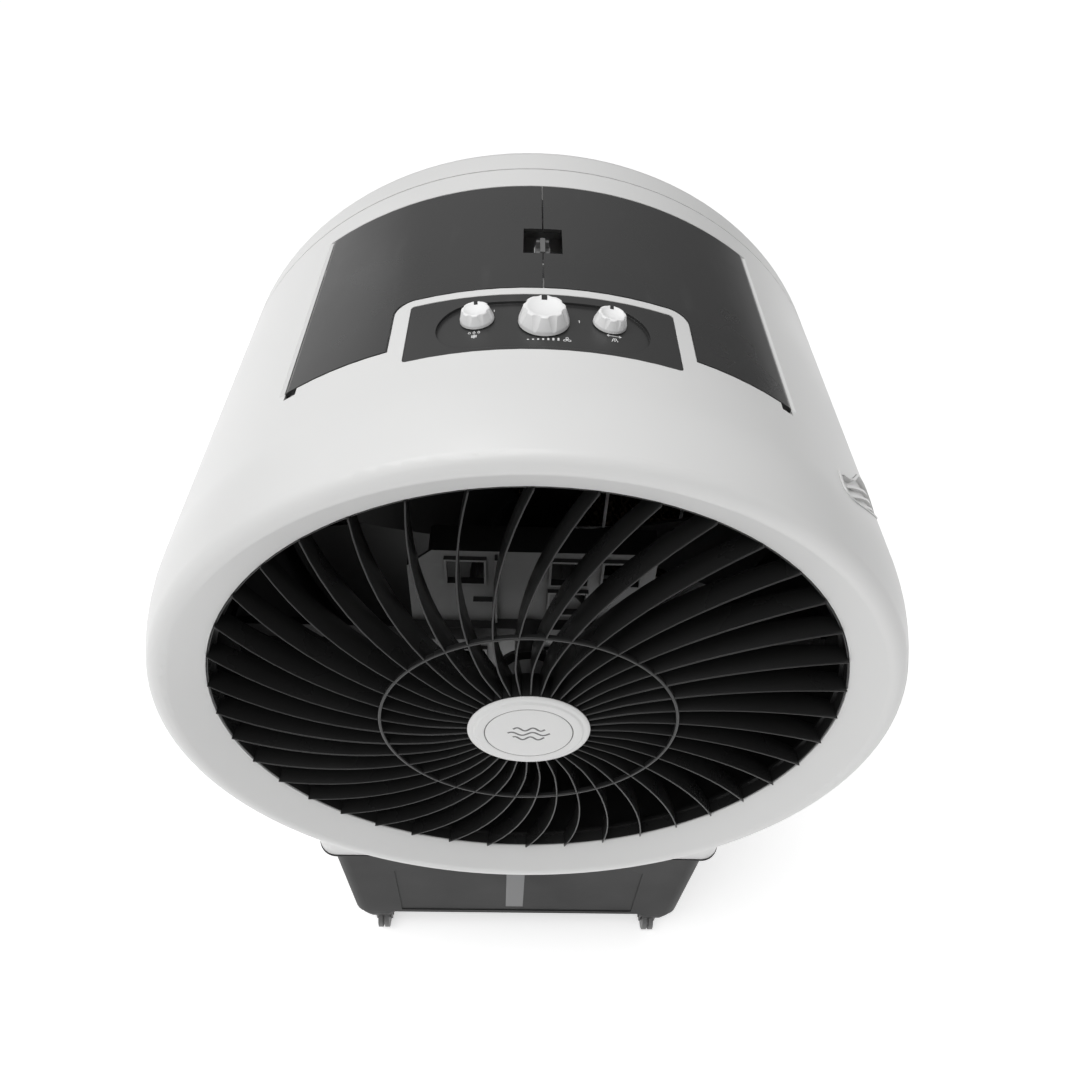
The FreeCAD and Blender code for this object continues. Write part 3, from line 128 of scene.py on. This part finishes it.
def spread(tree, fac, low, high, to_low, to_high):
    """The factor's range from low to high, mapped onto another range."""
    made = tree.nodes.new("ShaderNodeMapRange")
    ends = {"From Min": low, "From Max": high, "To Min": to_low, "To Max": to_high}
    for socket, value in ends.items():
        made.inputs[socket].default_value = value
    tree.links.new(fac, made.inputs["Value"])
    return made.outputs["Result"]


def mix(tree, fac, a, b):
    """Blend of colour a and colour b, where b is plain or comes from a socket."""
    made = tree.nodes.new("ShaderNodeMix")
    made.data_type = "RGBA"
    tree.links.new(fac, made.inputs["Factor"])
    tree.links.new(a, made.inputs["A"])
    if isinstance(b, tuple):
        made.inputs["B"].default_value = (*b, 1)
    else:
        tree.links.new(b, made.inputs["B"])
    return made.outputs["Result"]


def moulded(name, colour, roughness, mottle=0.05, grain=0.00003, grain_scale=1400.0,
            specular=0.5, coat=0.0, metallic=0.0, edge=0.0005, dust_and_shade=0.0,
            dust_and_shade_colour=(0.45, 0.44, 0.42), scuff=0.0, gloss_swing=0.12, top_shade_colour=None):
    """Moulded surface: mottled colour, uneven gloss, fine grain, softened edges,
    a colour mixed into corners and creases (settled dirt where it is paler than the
    surface, painted shade where it is darker), and pale scuffs drawn out along one way.
    A top colour, when given, is painted shade laid over what faces upwards."""
    made, tree, shader = new_material(name, colour, roughness, specular, coat, metallic)
    nodes, links = tree.nodes, tree.links
    broad = noise(tree, 7.0, 6.0)
    paint = ramp(tree, broad, 0.32, 0.68, [c * (1 - mottle) for c in colour],
                 [min(1.0, c * (1 + mottle)) for c in colour])
    gloss = spread(tree, broad, 0.3, 0.7,
                   roughness * (1 - gloss_swing), roughness * (1 + gloss_swing))
    if scuff > 0:
        streak = noise(tree, 60.0, 8.0, (1.0, 0.18, 1.0))
        mask = spread(tree, streak, 0.62, 0.80, 0.0, scuff)
        paint = mix(tree, mask, paint, tuple(min(1.0, c * 2.2 + 0.02) for c in colour))
    # Ambient occlusion finds corners and creases and mixes the given colour in there: paler than
    # the surface it is settled dirt, darker it is painted shade.
    if dust_and_shade > 0:
        corner = nodes.new("ShaderNodeAmbientOcclusion")
        corner.samples = 4
        corner.inputs["Distance"].default_value = 0.010
        mask = spread(tree, corner.outputs["AO"], 0.75, 0.25, 0.0, dust_and_shade)
        paint = mix(tree, mask, paint, dust_and_shade_colour)
    # Faces that look upwards take the given top colour: painted shade.
    if top_shade_colour:
        shape = nodes.new("ShaderNodeNewGeometry")
        split = nodes.new("ShaderNodeSeparateXYZ")
        links.new(shape.outputs["Normal"], split.inputs["Vector"])
        paint = mix(tree, spread(tree, split.outputs["Z"], 0.35, 0.6, 0.0, 1.0), paint, top_shade_colour)
    links.new(paint, shader.inputs["Base Color"])
    links.new(gloss, shader.inputs["Roughness"])
    bump = nodes.new("ShaderNodeBump")
    bump.inputs["Strength"].default_value = 0.4
    bump.inputs["Distance"].default_value = grain
    links.new(noise(tree, grain_scale, 3.0), bump.inputs["Height"])
    if edge > 0:
        soft = nodes.new("ShaderNodeBevel")
        soft.samples = 4
        soft.inputs["Radius"].default_value = edge
        links.new(soft.outputs["Normal"], bump.inputs["Normal"])
    links.new(bump.outputs["Normal"], shader.inputs["Normal"])
    return made


def grey(value):
    return (value, value, value)


# In the mouldings below, a corner colour darker than the moulding's own colour (white shell, grey
# moulding, knobs, cradle, catch) is painted shade in corners and creases; a paler one is dirt.
MATERIALS = {
    "white_shell": moulded("white_moulding", (0.72, 0.72, 0.715), 0.34, mottle=0.012,
                           edge=0.0009, dust_and_shade=0.20, dust_and_shade_colour=(0.40, 0.39, 0.37)),
    "charcoal_gloss": moulded("charcoal_moulding", grey(0.030), 0.30, mottle=0.10,
                              edge=0.0006, dust_and_shade=0.15, dust_and_shade_colour=(0.08, 0.08, 0.08),
                              scuff=0.18, gloss_swing=0.25),
    "black_plastic": moulded("black_moulding", grey(0.011), 0.33, mottle=0.15,
                             edge=0.0004, dust_and_shade=0.10, dust_and_shade_colour=(0.05, 0.05, 0.048)),
    "tank_grey": moulded("tank_moulding", grey(0.010), 0.5, specular=0.22, mottle=0.10,
                         edge=0.0010, dust_and_shade=0.2, dust_and_shade_colour=(0.09, 0.09, 0.088),
                         grain=0.00006, grain_scale=900.0, scuff=0.10),
    "clear_window": moulded("window_moulding", (0.05, 0.052, 0.054), 0.3, mottle=0.06,
                            coat=0.3),
    "light_grey_plastic": moulded("grey_moulding", grey(0.62), 0.42, mottle=0.04, dust_and_shade=0.25),
    "motor_paint": moulded("motor_enamel", grey(0.16), 0.35, mottle=0.08, dust_and_shade=0.2),
    "blue_grey_plastic": moulded("pump_moulding", (0.16, 0.19, 0.24), 0.45, mottle=0.08),
    "bright_steel": moulded("zinc_plate", (0.60, 0.60, 0.61), 0.28, mottle=0.06,
                            metallic=1.0, edge=0.0002),
    "brass": moulded("turned_brass", (0.66, 0.48, 0.2), 0.28, mottle=0.08,
                     metallic=1.0, edge=0.0002),
    "pad_cellulose": moulded("pad_paper", (0.060, 0.040, 0.024), 0.85, specular=0.2, mottle=0.3,
                             grain=0.0002, grain_scale=500.0, edge=0.0, gloss_swing=0.05),
    "hose_rubber": moulded("hose_rubber", grey(0.03), 0.55, mottle=0.1),
    "caster_grey": moulded("caster_nylon", grey(0.13), 0.42, mottle=0.08, dust_and_shade=0.3, scuff=0.2,
                           dust_and_shade_colour=(0.15, 0.14, 0.13)),
}
LOUVRE_BLACK = moulded("louvre_moulding", grey(0.019), 0.30, mottle=0.12, edge=0.0003,
                       specular=0.28, coat=0.06, gloss_swing=0.3)
PRINT_WHITE = moulded("print_white", grey(0.72), 0.5, mottle=0.05, edge=0.0)
PRINT_GREY = moulded("print_grey", grey(0.12), 0.5, mottle=0.10, edge=0.0)
DARK_INSERT = moulded("dark_insert", grey(0.02), 0.4, mottle=0.10, edge=0.0002)
KNOB_WHITE = moulded("knob_moulding", grey(0.86), 0.36, mottle=0.03, edge=0.0006, dust_and_shade=0.2,
                     dust_and_shade_colour=(0.40, 0.39, 0.37))
# CAD nodes that look different from the rest of their slot
OWN_MATERIALS = {
    # The cradle's upward faces are painted near black, as painted shade on its top, and its corners
    # darker, as painted shade in its creases.
    "motor_cradle": moulded("cradle_moulding", grey(0.25), 0.38, mottle=0.08, edge=0.0008,
                            dust_and_shade=0.3, dust_and_shade_colour=(0.06, 0.058, 0.055), scuff=0.15,
                            top_shade_colour=grey(0.015)),
    "lid_catch": moulded("catch_moulding", grey(0.13), 0.35, mottle=0.08, edge=0.0004,
                         dust_and_shade=0.2, dust_and_shade_colour=(0.06, 0.06, 0.058)),
    "cool_knob": KNOB_WHITE, "speed_knob": KNOB_WHITE, "swing_knob": KNOB_WHITE,
}

for row in frame["record"]["subparts"]:
    node = frame["nodes"][row["node"]]
    node.data.materials.clear()
    node.data.materials.append(OWN_MATERIALS.get(row["node"]) or MATERIALS[row["material_slot"]])
    for polygon in node.data.polygons:
        polygon.material_index = 0


# ---- mesh helpers -----------------------------------------------------------
def piece(name, build, material, body):
    """Mesh piece from a build in the drum's frame (mm), riding on a CAD body."""
    mesh = bpy.data.meshes.new(name)
    mesh.from_pydata([tuple(AXIS + Vector(p) * MM) for p in build.points], [], build.faces)
    mesh.validate()
    mesh.shade_smooth()
    mesh.set_sharp_from_angle(angle=math.radians(SHARP_ANGLE))
    mesh.materials.append(material)
    made = bpy.data.objects.new(name, mesh)
    bpy.context.scene.collection.objects.link(made)
    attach(made, body)
    return made


class Build:
    """Points and faces of one piece, put together from closed parts."""

    def __init__(self):
        self.points, self.faces = [], []

    def add(self, points, faces):
        first = len(self.points)
        self.points += [tuple(p) for p in points]
        self.faces += [tuple(first + i for i in face) for face in faces]

    def loft(self, loops, wrap=False):
        """Closed skin over equal loops of points; wrap joins the last to the first."""
        size = len(loops[0])
        faces = []
        spans = len(loops) if wrap else len(loops) - 1
        for i in range(spans):
            a, b = i * size, (i + 1) % len(loops) * size
            for k in range(size):
                n = (k + 1) % size
                faces.append((a + k, a + n, b + n, b + k))
        if not wrap:
            faces.append(tuple(range(size - 1, -1, -1)))
            faces.append(tuple((len(loops) - 1) * size + k for k in range(size)))
        self.add([p for loop in loops for p in loop], faces)

    def lathe(self, profile, steps):
        """Closed profile of (radius, y) points turned about the drum's direction."""
        loops = []
        for i in range(steps):
            a = 2 * math.pi * i / steps
            loops.append([(r * math.sin(a), y, r * math.cos(a)) for r, y in profile])
        self.loft(loops, wrap=True)


def rounded(profile, radius, steps):
    """Closed polygon of (u, v) with every corner rounded off."""
    out = []
    count = len(profile)
    for i in range(count):
        before, here, after = (Vector(profile[j % count]) for j in (i - 1, i, i + 1))
        cut = min(radius, (before - here).length * 0.45, (after - here).length * 0.45)
        a = here + (before - here).normalized() * cut
        b = here + (after - here).normalized() * cut
        for k in range(steps + 1):
            t = k / steps
            out.append(tuple((1 - t) ** 2 * a + 2 * t * (1 - t) * here + t * t * b))
    return out


def on_cylinder(radius):
    """Maps (distance round the drum from its top, y) to a point, and lifts it."""
    def place(u, v, lift):
        r, a = radius + lift, u / radius
        return (r * math.sin(a), v, r * math.cos(a))
    return place


def on_face(y):
    """Maps (x, z) to a point on an upright face, and lifts it towards the front."""
    def place(u, v, lift):
        return (u, y - lift, v)
    return place


PRINT_SINK = 0.05            # how far a printed line reaches below its surface


def stroke(build, line, width, place, lift=0.12, closed=False):
    """Printed line of even width: a thin closed strip along (u, v) points."""
    pts = [Vector(p) for p in line]
    count = len(pts)
    loops = []
    for i, p in enumerate(pts):
        before = pts[i - 1] if i or closed else p
        after = pts[(i + 1) % count] if i < count - 1 or closed else p
        along = (after - before).normalized()
        side = Vector((-along.y, along.x)) * width / 2
        a, b = p + side, p - side
        loops.append([place(a.x, a.y, -PRINT_SINK), place(a.x, a.y, lift),
                      place(b.x, b.y, lift), place(b.x, b.y, -PRINT_SINK)])
    build.loft(loops, wrap=closed)


def circle(u, v, radius, steps):
    """Even points round a circle."""
    turns = [2 * math.pi * i / steps for i in range(steps)]
    return [(u + radius * math.cos(a), v + radius * math.sin(a)) for a in turns]


# ---- louvre wheel -----------------------------------------------------------
def vane_front(r):
    """Y of a vane's front edge at radius r."""
    return VANE_FRONT_Y - VANE_DOME * (1 - (r / OPENING_R) ** 3)


def vane_back(r):
    """Y of a vane's back edge at radius r."""
    return VANE_BACK_Y + VANE_BACK_RISE * r / OPENING_R


def vane_turn(r):
    """Angle that a vane has curved round by at radius r."""
    share = (r - VANE_STRAIGHT_R) / (OPENING_R - VANE_STRAIGHT_R)
    return math.radians(VANE_SWEEP) * max(0.0, share)


def vane_section(r, turn, thick):
    """Loop across a vane at radius r: round nose, sides that draw in to the back."""
    a = math.pi + vane_turn(r) + turn
    front, back = vane_front(r), vane_back(r)
    nose = 6
    loop = []
    for k in range(nose + 1):
        b = math.pi * k / nose
        loop.append((-thick / 2 * math.cos(b), front + thick / 2 * (1 - math.sin(b))))
    draw_in = [(thick * 0.46, (front + back) / 2), (thick * 0.40, back - 0.4), (thick * 0.25, back)]
    loop += draw_in + [(-u, y) for u, y in reversed(draw_in)]
    return [(r * math.sin(a) + u * math.cos(a), y, r * math.cos(a) - u * math.sin(a))
            for u, y in loop]


def louvre_wheel():
    """Vanes, hub with its boss, stiffening ring and tip sleeve as one moulding."""
    build = Build()
    stations = [LOUVRE_HUB_R - 1.5, *VANE_STATIONS, VANE_TIP_R - 1.2, VANE_TIP_R - 0.3]
    for i in range(VANE_COUNT):
        turn = 2 * math.pi * i / VANE_COUNT
        loops = [vane_section(r, turn, VANE_THICK) for r in stations]
        loops.append(vane_section(VANE_TIP_R, turn, VANE_TIP_THICK))
        build.loft(loops)
    hub_in = LOUVRE_HUB_R - LOUVRE_HUB_WALL
    build.lathe(rounded([(LOUVRE_HUB_R, HUB_FRONT_Y), (LOUVRE_HUB_R, HUB_BACK_Y),
                         (hub_in, HUB_BACK_Y), (hub_in, HUB_FLOOR_Y),
                         (SHAFT_R, HUB_FLOOR_Y), (SHAFT_R, HUB_FRONT_Y)], 0.6, 2), 120)
    build.lathe(rounded([(BOSS_R, BOSS_FRONT_Y), (BOSS_R, BOSS_BACK_Y),
                         (SHAFT_R, BOSS_BACK_Y), (SHAFT_R, BOSS_FRONT_Y)], 0.5, 2), 40)
    ring_y1 = vane_front(LOUVRE_RING_R) - 0.15       # stands just proud of the vanes
    ring_y2 = ring_y1 + LOUVRE_RING_DEPTH
    build.lathe(rounded([(LOUVRE_RING_R - 1.5, ring_y1), (LOUVRE_RING_R + 1.5, ring_y1),
                         (LOUVRE_RING_R + 1.8, ring_y2), (LOUVRE_RING_R - 1.8, ring_y2)],
                        1.3, 4), 180)
    sleeve_in, foot_in = VANE_TIP_R - SLEEVE_WALL, VANE_TIP_R - SLEEVE_FOOT
    foot_y = SLEEVE_Y2 - SLEEVE_FOOT_DEPTH
    build.lathe(rounded([(sleeve_in, SLEEVE_Y1), (VANE_TIP_R, SLEEVE_Y1), (VANE_TIP_R, SLEEVE_Y2),
                         (foot_in, SLEEVE_Y2), (foot_in, foot_y), (sleeve_in, foot_y)],
                        0.4, 2), 240)
    made = piece("louvre_vanes", build, LOUVRE_BLACK, "louvre")
    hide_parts("louvre_wheel")


def hub_cap():
    """Stepped cap with soft edges, a fine groove and a plain three-wave air mark."""
    build = Build()
    face, back = CAP_FACE_Y + CAP_SETBACK, CAP_BACK_Y
    r1, r2, floor_y = CAP_GROOVE_R1, CAP_GROOVE_R2, face + CAP_GROOVE_DEPTH
    build.lathe(rounded([(AXIS_GAP, back), (CAP_R, back), (CAP_R, back - 1.3),
                         (56.0, back - 2.7), (52.4, back - 2.75), (50.6, face),
                         (r2, face), (r2 - 0.1, floor_y), (r1 + 0.1, floor_y), (r1, face),
                         (AXIS_GAP, face)], 0.55, 4), 160)
    made = piece("hub_cap_moulding", build, MATERIALS["white_shell"], "louvre")
    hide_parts("hub_cap")
    ink = Build()
    ink_r1, ink_r2 = r1 + 0.15, r2 - 0.15
    ink_y1, ink_y2 = floor_y - 0.35, floor_y - 0.05
    ink.lathe([(ink_r1, ink_y1), (ink_r2, ink_y1), (ink_r2, ink_y2), (ink_r1, ink_y2)], 160)
    front = on_face(face)
    for k, (z, half) in enumerate(((8.0, 15.0), (0.0, 20.0), (-8.0, 15.0))):
        wave = [(-half + 2 * half * t / 40, z + 2.6 * math.sin(2 * math.pi * t / 20 + 0.4 * k))
                for t in range(41)]
        stroke(ink, wave, 2.2, front, CAP_SETBACK / 2)
    piece("hub_cap_print", ink, PRINT_GREY, "louvre")


# ---- printing on the control panel ------------------------------------------
# Each place is (distance round the drum from its top, distance behind the outlet).
SNOWFLAKE_AT, SNOWFLAKE_SIZE = (-52.8, 109.6), 2.5
DROPS_AT = (-53.0, 114.8)
SWAY_AT = (54.0, 116.2)
AIR_AT, AIR_SIZE = (54.2, 111.0), 2.8
FAN_AT, FAN_SIZE = (17.4, 103.8), 3.2
BARS_AT, BAR_COUNT, BAR_PITCH, BAR_WIDTH = (-12.0, 102.0), 7, 3.8, 1.5
BAR_LENGTH, BAR_GROWTH = 0.9, 0.42
# place, size and line width of the figure 1 at the right of each knob
FIGURES = ((27.4, 129.8, 1.0, 0.6), (-38.6, 143.0, 0.8, 0.5), (70.8, 148.6, 0.8, 0.5))
FIGURE_ONE = ((-0.8, 1.0), (0.1, 1.7), (0.1, -1.7))


def snowflake(build, u, v, size, place):
    """Six arms, each with two short twigs."""
    for k in range(6):
        a = math.radians(60 * k + 30)
        tip = (u + size * math.cos(a), v + size * math.sin(a))
        stroke(build, [(u, v), tip], 0.55, place)
        for s in (-1, 1):
            b = a + s * math.radians(55)
            start = (u + size * 0.55 * math.cos(a), v + size * 0.55 * math.sin(a))
            end = (start[0] + size * 0.36 * math.cos(b), start[1] + size * 0.36 * math.sin(b))
            stroke(build, [start, end], 0.45, place)


def fan_icon(build, u, v, size, place):
    """Three oval blades round a small hub."""
    for k in range(3):
        a = math.radians(120 * k + 90)
        centre = (u + size * 0.58 * math.cos(a), v + size * 0.58 * math.sin(a))
        loop = []
        for i in range(18):
            t = 2 * math.pi * i / 18
            p, q = size * 0.40 * math.cos(t), size * 0.30 * math.sin(t)
            loop.append((centre[0] + p * math.cos(a) - q * math.sin(a),
                         centre[1] + p * math.sin(a) + q * math.cos(a)))
        stroke(build, loop, 0.5, place, closed=True)
    stroke(build, circle(u, v, size * 0.14, 10), 0.4, place, closed=True)


def air_icon(build, u, v, size, place):
    """Three streams that fan out downwards."""
    for k in (-1, 0, 1):
        line = [(u + k * size * (0.28 + 0.55 * t / 8) + 0.25 * math.sin(t * 1.3),
                 v + size * (0.8 - 1.6 * t / 8)) for t in range(9)]
        stroke(build, line, 0.6, place)


def drop_row(build, u, v, place):
    """Three small water drops side by side."""
    for k in (-1, 0, 1):
        centre = u + 3.6 * k
        turns = [2 * math.pi * i / 14 for i in range(14)]
        loop = [(centre + 0.85 * math.sin(a) * (1 - 0.45 * max(0.0, math.cos(a))),
                 v + 1.25 * math.cos(a) - 0.1) for a in turns]
        stroke(build, loop, 0.45, place, closed=True)


def sway_arrow(build, u, v, place):
    """Level line with a head at each end: from side to side."""
    half, head, width = 5.6, 1.6, 0.6
    stroke(build, [(u - half, v), (u + half, v)], width, place)
    for s in (-1, 1):
        tip, back = u + s * half, u + s * (half - head)
        stroke(build, [(back, v + 1.3), (tip, v), (back, v - 1.3)], width, place)


def panel_print():
    """Icons, rising bars for the air speed and figures, all on the floor of the dish."""
    build = Build()
    place = on_cylinder(DISH_R)
    snowflake(build, *SNOWFLAKE_AT, SNOWFLAKE_SIZE, place)
    drop_row(build, *DROPS_AT, place)
    sway_arrow(build, *SWAY_AT, place)
    air_icon(build, *AIR_AT, AIR_SIZE, place)
    fan_icon(build, *FAN_AT, FAN_SIZE, place)
    for k in range(BAR_COUNT):
        u, v = BARS_AT[0] + BAR_PITCH * k, BARS_AT[1]
        stroke(build, [(u, v), (u, v + BAR_LENGTH + BAR_GROWTH * k)], BAR_WIDTH, place)
    for u, v, size, width in FIGURES:
        stroke(build, [(u + p * size, v + q * size) for p, q in FIGURE_ONE], width, place)
    piece("panel_print", build, PRINT_WHITE, "cabinet")


def knob_pointers():
    """Dark insert in the slot at the back of each knob's top."""
    for name, radius, height, angle, y in KNOBS:
        top_r, top = radius * 0.83, KNOB_BASE + height
        half, inner, outer = radius * 0.105, top_r * 0.64, top_r - 0.35
        outline = rounded([(-half, inner), (half, inner), (half, outer), (-half, outer)], 0.35, 3)
        turn = Matrix.Rotation(math.radians(angle), 3, "Y")
        build = Build()
        build.loft([[turn @ Vector((u, y + v, z)) for u, v in outline]
                    for z in (top - 3.1, top - 0.5)])
        narrow = [(u * 0.7, inner + (v - inner) * 0.8 + 0.3) for u, v in outline]
        build.loft([[turn @ Vector((u, y + v, z)) for u, v in narrow]
                    for z in (top - 0.8, top - 0.3)])
        piece(name + "_knob_pointer", build, DARK_INSERT, name + "_control")


# ---- skirt and pad -----------------------------------------------------------
def shell_radius(y):
    """Radius of the shell's outer face behind the rolled rim."""
    rise, run = DRUM_R - RIM_R, SHOULDER_Y - RIM_Y
    shoulder_r = (rise ** 2 + run ** 2 - RIM_TUBE ** 2) / (2 * (rise - RIM_TUBE))
    if y >= SHOULDER_Y:
        return DRUM_R
    return DRUM_R - shoulder_r + math.sqrt(shoulder_r ** 2 - (SHOULDER_Y - y) ** 2)


def rounded_path(x, y1, y2, corner):
    """Points round a rounded rectangle in plan, evenly spaced on its sides."""
    path = []
    arc_steps = 10
    for cx, cy, start in ((x - corner, y2 - corner, 0), (corner - x, y2 - corner, 90),
                          (corner - x, y1 + corner, 180), (x - corner, y1 + corner, 270)):
        for k in range(arc_steps + 1):
            a = math.radians(start + 90 * k / arc_steps)
            path.append((cx + corner * math.cos(a), cy + corner * math.sin(a)))
    out = []
    for i, (ax, ay) in enumerate(path):
        bx, by = path[(i + 1) % len(path)]
        count = max(1, int(math.hypot(bx - ax, by - ay) / COLLAR_PATH_STEP))
        out += [(ax + (bx - ax) * k / count, ay + (by - ay) * k / count) for k in range(count)]
    return out


def skirt():
    """The skirt between drum and tank as one moulding that dies into the shell."""
    # softened lower edge: share of the wall from inside to outside, height
    edge = ((0.0, 0.5), (0.2, 0.0), (0.77, 0.0), (0.95, 0.2))
    loops = []
    middle_y, half_y = (COLLAR_Y1 + COLLAR_Y2) / 2, (COLLAR_Y2 - COLLAR_Y1) / 2
    for x, y in rounded_path(COLLAR_X, COLLAR_Y1, COLLAR_Y2, COLLAR_CORNER):
        px = x * (COLLAR_X - COLLAR_WALL) / COLLAR_X
        py = middle_y + (y - middle_y) * (half_y - COLLAR_WALL) / half_y
        top_out = -math.sqrt((shell_radius(y) - COLLAR_SINK) ** 2 - x * x)
        top_in = -math.sqrt((shell_radius(py) - COLLAR_SINK) ** 2 - px * px)
        loops.append([(x, y, COLLAR_BOTTOM + 0.7), (x, y, top_out), (px, py, top_in)]
                     + [(px + (x - px) * share, py + (y - py) * share, COLLAR_BOTTOM + height)
                        for share, height in edge])
    build = Build()
    build.loft(loops, wrap=True)
    made = piece("skirt_moulding", build, MATERIALS["white_shell"], "cabinet")
    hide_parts("collar_front", "collar_rear", "collar_sides")


def cooling_pad():
    """Corrugated sheets stacked side by side, their flutes sloping opposite ways in turn."""
    build = Build()
    pitch, wave, swing, thick = 9.0, 18.0, 4.55, 0.7
    flute_slope, point_step = 0.55, 2.6
    depths = [PAD_Y1 + 0.6 + (PAD_Y2 - PAD_Y1 - 1.2) * k / 4 for k in range(5)]
    rows = int((PAD_R - 12) / pitch)
    for i in range(-rows, rows + 1):
        x = i * pitch
        half = math.sqrt((PAD_R - 3.5) ** 2 - (abs(x) + swing) ** 2)
        count = max(4, int(2 * half / point_step))
        slope = flute_slope if i % 2 else -flute_slope
        loops = []
        for k in range(count + 1):
            z = -half + 2 * half * k / count
            bends = [x + swing * math.sin(2 * math.pi * (z + slope * (y - PAD_Y1)) / wave)
                     for y in depths]
            front = [(b - thick / 2, y, z) for b, y in zip(bends, depths)]
            back = [(b + thick / 2, y, z) for b, y in zip(reversed(bends), reversed(depths))]
            loops.append(front + back)
        build.loft(loops)
    band_in, band_out = PAD_R - 2.6, PAD_R - 0.2
    build.lathe(rounded([(band_in, PAD_Y1), (band_out, PAD_Y1),
                         (band_out, PAD_Y2), (band_in, PAD_Y2)], 0.5, 2), 160)
    # A thin opaque sheet halfway through the depth keeps the bright floor from showing
    # through the flutes. It is there for the look only: a real pad has none.
    scrim_r, scrim_half, middle = PAD_R - 2.7, 0.3, (PAD_Y1 + PAD_Y2) / 2
    build.lathe([(AXIS_GAP, middle - scrim_half), (scrim_r, middle - scrim_half),
                 (scrim_r, middle + scrim_half), (AXIS_GAP, middle + scrim_half)], 96)
    made = piece("pad_sheets", build, MATERIALS["pad_cellulose"], "cabinet")
    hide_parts("cooling_pad")


# ---- stage: floor, light, camera --------------------------------------------
FLOOR_R, FLOOR_STEPS, FLOOR_GLOW = 10.0, 96, 0.52
WORLD_STRENGTH = 0.50
LEFT_SHARE, RIGHT_SHARE = 1.28, 0.40         # world light from the left and from the right
LOW_SHARE, HIGH_SHARE = 0.23, 1.62           # world light from the horizon and from above
LOW_Z, HIGH_Z = -0.1, 0.9                    # between which the light grows with height


def floor():
    """Pale round floor that glows a little, so it stays white in the picture."""
    turns = [2 * math.pi * k / FLOOR_STEPS for k in range(FLOOR_STEPS)]
    rim = [(FLOOR_R * math.cos(a), FLOOR_R * math.sin(a), 0) for a in turns]
    mesh = bpy.data.meshes.new("floor")
    mesh.from_pydata(rim, [], [tuple(range(FLOOR_STEPS))])
    made = bpy.data.objects.new("floor", mesh)
    bpy.context.scene.collection.objects.link(made)
    paint, _, shader = new_material("floor_paint", grey(0.92), 0.9, 0.1)
    shader.inputs["Emission Color"].default_value = (1, 1, 1, 1)
    shader.inputs["Emission Strength"].default_value = FLOOR_GLOW
    mesh.materials.append(paint)


def area_light(name, place, target, size, power):
    """Rectangular lamp in the row's frame (m), turned towards its target."""
    lamp = bpy.data.lights.new(name, "AREA")
    lamp.shape = "RECTANGLE"
    lamp.size, lamp.size_y = size
    lamp.energy = power
    made = bpy.data.objects.new(name, lamp)
    made.location = place
    made.rotation_mode = "QUATERNION"
    made.rotation_quaternion = (Vector(target) - Vector(place)).to_track_quat("-Z", "Y")
    bpy.context.scene.collection.objects.link(made)


def world_light():
    """Even studio light, stronger from above and from the left."""
    world = bpy.data.worlds.new("studio")
    world.use_nodes = True
    tree = world.node_tree
    back = tree.nodes["Background"]
    back.inputs["Color"].default_value = (1, 1, 1, 1)
    way = tree.nodes.new("ShaderNodeTexCoord")
    split = tree.nodes.new("ShaderNodeSeparateXYZ")
    tree.links.new(way.outputs["Generated"], split.inputs["Vector"])
    side = spread(tree, split.outputs["X"], -1, 1, LEFT_SHARE, RIGHT_SHARE)
    height = spread(tree, split.outputs["Z"], LOW_Z, HIGH_Z,
                    WORLD_STRENGTH * LOW_SHARE, WORLD_STRENGTH * HIGH_SHARE)
    both = tree.nodes.new("ShaderNodeMath")
    both.operation = "MULTIPLY"
    tree.links.new(side, both.inputs[0])
    tree.links.new(height, both.inputs[1])
    tree.links.new(both.outputs["Value"], back.inputs["Strength"])
    bpy.context.scene.world = world


CAMERA_AT = AXIS + Vector((-0.0197, -0.4428, 0.7145))
CAMERA_PITCH, CAMERA_YAW, CAMERA_ROLL = (math.radians(a) for a in (46.68, 2.67, 3.35))
CAMERA_LENS, SENSOR = 28.45, 36.0


def camera():
    """Camera that looks down on the cooler from the front, a little turned and rolled."""
    level_share = math.cos(CAMERA_PITCH)
    ahead = Vector((math.sin(CAMERA_YAW) * level_share, math.cos(CAMERA_YAW) * level_share,
                    -math.sin(CAMERA_PITCH)))
    level = Vector((math.cos(CAMERA_YAW), -math.sin(CAMERA_YAW), 0))
    upright = level.cross(ahead)
    right = math.cos(CAMERA_ROLL) * level + math.sin(CAMERA_ROLL) * upright
    up = math.cos(CAMERA_ROLL) * upright - math.sin(CAMERA_ROLL) * level
    data = bpy.data.cameras.new("camera")
    data.lens, data.sensor_width = CAMERA_LENS, SENSOR
    data.clip_start = 0.01
    made = bpy.data.objects.new("camera", data)
    turn = Matrix((right, up, -ahead)).transposed().to_4x4()
    made.matrix_world = Matrix.Translation(CAMERA_AT) @ turn
    bpy.context.scene.collection.objects.link(made)
    bpy.context.scene.camera = made


louvre_wheel()
hub_cap()
panel_print()
knob_pointers()
skirt()
cooling_pad()
floor()
camera()
world_light()
area_light("key", place=(-0.75, -0.65, 3.3), target=(0, 0, 0.7), size=(2.0, 2.0), power=38)
area_light("back_left", place=(-2.2, 2.6, 1.3), target=(0, 0.2, 0.9), size=(1.8, 1.4), power=3.5)
bpy.context.scene.view_settings.view_transform = "Standard"
